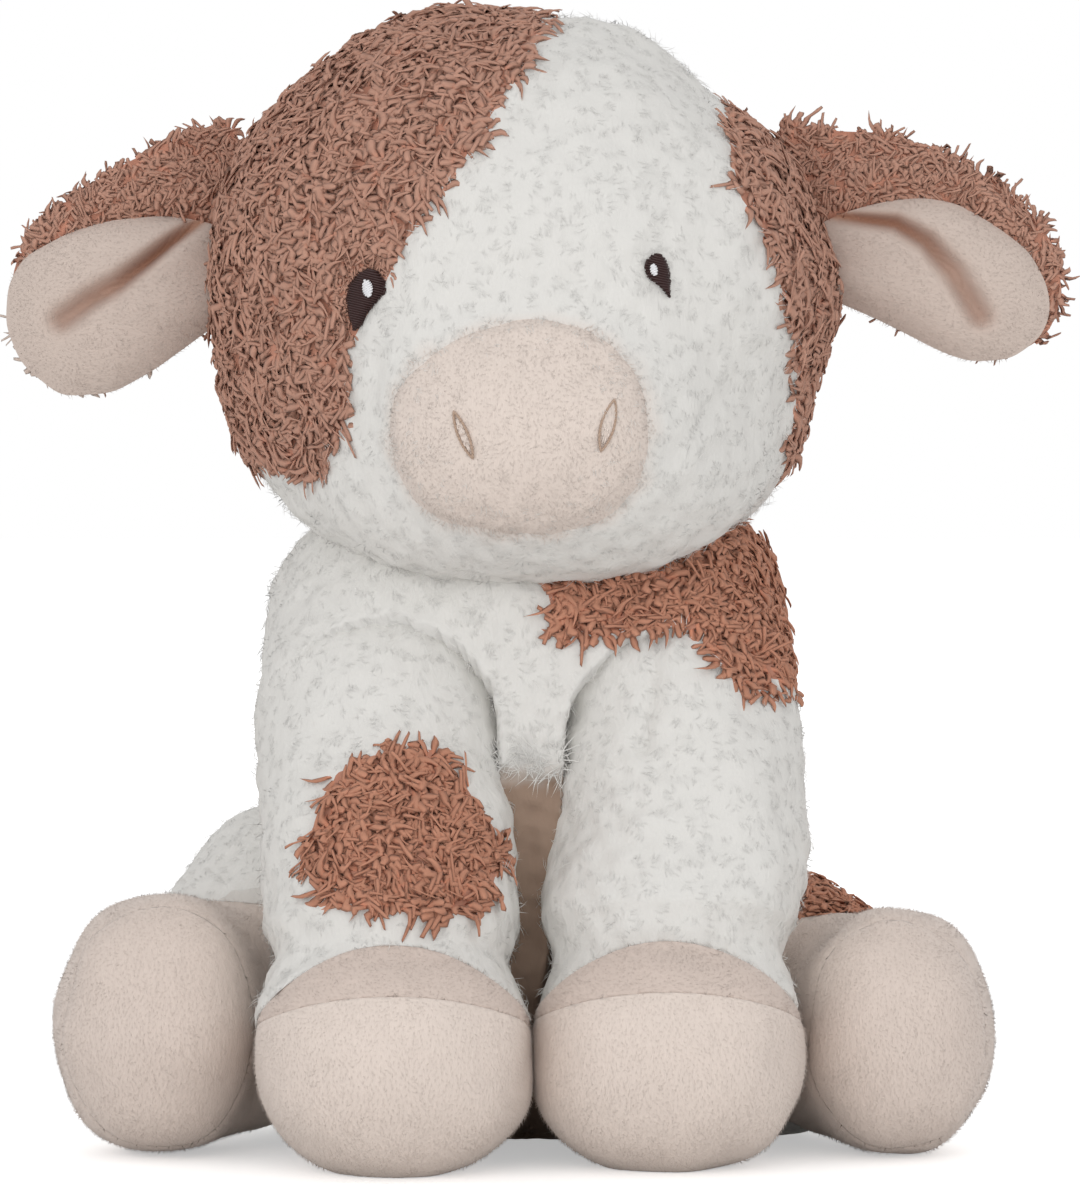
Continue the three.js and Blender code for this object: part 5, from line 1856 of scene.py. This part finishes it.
class COW_OT_stage(bpy.types.Operator):
    """Sets the floor, soft studio light and the camera"""

    bl_idname = "cow.stage"
    bl_label = "Stage"

    def execute(self, context):
        scene = context.scene
        scene.view_settings.view_transform = "Standard"
        mesh = bpy.data.meshes.new("floor")
        corners = [
            (x * FLOOR_HALF, y * FLOOR_HALF, 0) for x, y in ((-1, -1), (1, -1), (1, 1), (-1, 1))
        ]
        mesh.from_pydata(corners, [], [(0, 1, 2, 3)])
        floor = bpy.data.objects.new("floor", mesh)
        scene.collection.objects.link(floor)
        material = bpy.data.materials.new("floor")
        material.use_nodes = True
        tree = material.node_tree
        shader = tree.nodes["Principled BSDF"]
        shader.inputs["Roughness"].default_value = 1.0
        shader.inputs["Specular IOR Level"].default_value = 0.0
        path = add_node(tree, "ShaderNodeLightPath")
        seen = mixed(tree, path.outputs["Is Camera Ray"], FLOOR_LIT, FLOOR_SEEN)
        tree.links.new(seen, shader.inputs["Base Color"])
        shader.inputs["Emission Color"].default_value = (1, 1, 1, 1)
        glow = calculate(tree, "MULTIPLY", path.outputs["Is Camera Ray"], FLOOR_GLOW)
        tree.links.new(glow, shader.inputs["Emission Strength"])
        mesh.materials.append(material)
        world = bpy.data.worlds.new("studio")
        scene.world = world
        world.use_nodes = True
        sky = world.node_tree
        rays = add_node(sky, "ShaderNodeLightPath").outputs
        level = calculate(sky, "MAXIMUM", rays["Is Camera Ray"], rays["Is Glossy Ray"])
        level = calculate(sky, "MAXIMUM", level, rays["Is Transmission Ray"])
        strength = calculate(sky, "MULTIPLY_ADD", level, 1 - SKY_LEVEL, SKY_LEVEL)
        back = sky.nodes["Background"]
        back.inputs["Color"].default_value = (1, 1, 1, 1)
        sky.links.new(strength, back.inputs["Strength"])
        for name, (place, size, power) in LAMPS.items():
            lamp = bpy.data.lights.new(name, "AREA")
            lamp.size = size
            lamp.energy = power
            light = bpy.data.objects.new(name, lamp)
            light.location = place
            aim = Vector(LAMP_AIM) - Vector(place)
            light.rotation_euler = aim.to_track_quat("-Z", "Y").to_euler()
            scene.collection.objects.link(light)
        target = Vector(to_frame(NECK + CAMERA_AIM))
        lens = bpy.data.cameras.new("camera")
        lens.sensor_width = CAMERA_SENSOR
        lens.lens = CAMERA_LENS
        lens.clip_start = 0.05
        camera = bpy.data.objects.new("camera", lens)
        aim = Vector((0, -math.cos(CAMERA_TILT), math.sin(CAMERA_TILT)))
        camera.location = target + CAMERA_DISTANCE * aim
        camera.rotation_euler = (math.radians(90) - CAMERA_TILT, 0, 0)
        scene.collection.objects.link(camera)
        scene.camera = camera
        return {"FINISHED"}


class COW_PT_panel(bpy.types.Panel):
    """Lists the steps that dress the cow, and their sizes and colours"""

    bl_label = "Plush cow"
    bl_idname = "COW_PT_panel"
    bl_space_type = "VIEW_3D"
    bl_region_type = "UI"
    bl_category = "Plush cow"

    def draw(self, context):
        for step in STEPS:
            self.layout.operator(step.bl_idname)
        for group in (context.scene.cow_coat, context.scene.cow_colours):
            for key in group.bl_rna.properties.keys():
                if key not in ("rna_type", "name"):
                    self.layout.prop(group, key)


STEPS = (
    COW_OT_stage, COW_OT_head, COW_OT_muzzle, COW_OT_eyes, COW_OT_nostrils, COW_OT_ears,
    COW_OT_torso, COW_OT_inner_pieces, COW_OT_front_legs, COW_OT_rear_legs, COW_OT_tail,
)
CLASSES = (CowCoatSizes, CowColours) + STEPS + (COW_PT_panel,)


def register():
    for cls in CLASSES:
        bpy.utils.register_class(cls)
    bpy.types.Scene.cow_coat = PointerProperty(type=CowCoatSizes)
    bpy.types.Scene.cow_colours = PointerProperty(type=CowColours)


def unregister():
    del bpy.types.Scene.cow_colours
    del bpy.types.Scene.cow_coat
    for cls in reversed(CLASSES):
        bpy.utils.unregister_class(cls)


def clear_strands():
    """Removes the strand shapes once all pile is grown."""
    for group in [g for g in bpy.data.collections if g.name.startswith("strands_")]:
        for shape in list(group.objects):
            bpy.data.objects.remove(shape)
        bpy.data.collections.remove(group)


def main():
    register()
    for step in STEPS:
        area, name = step.bl_idname.split(".")
        getattr(getattr(bpy.ops, area), name)()
    clear_strands()


if __name__ == "__main__":
    main()
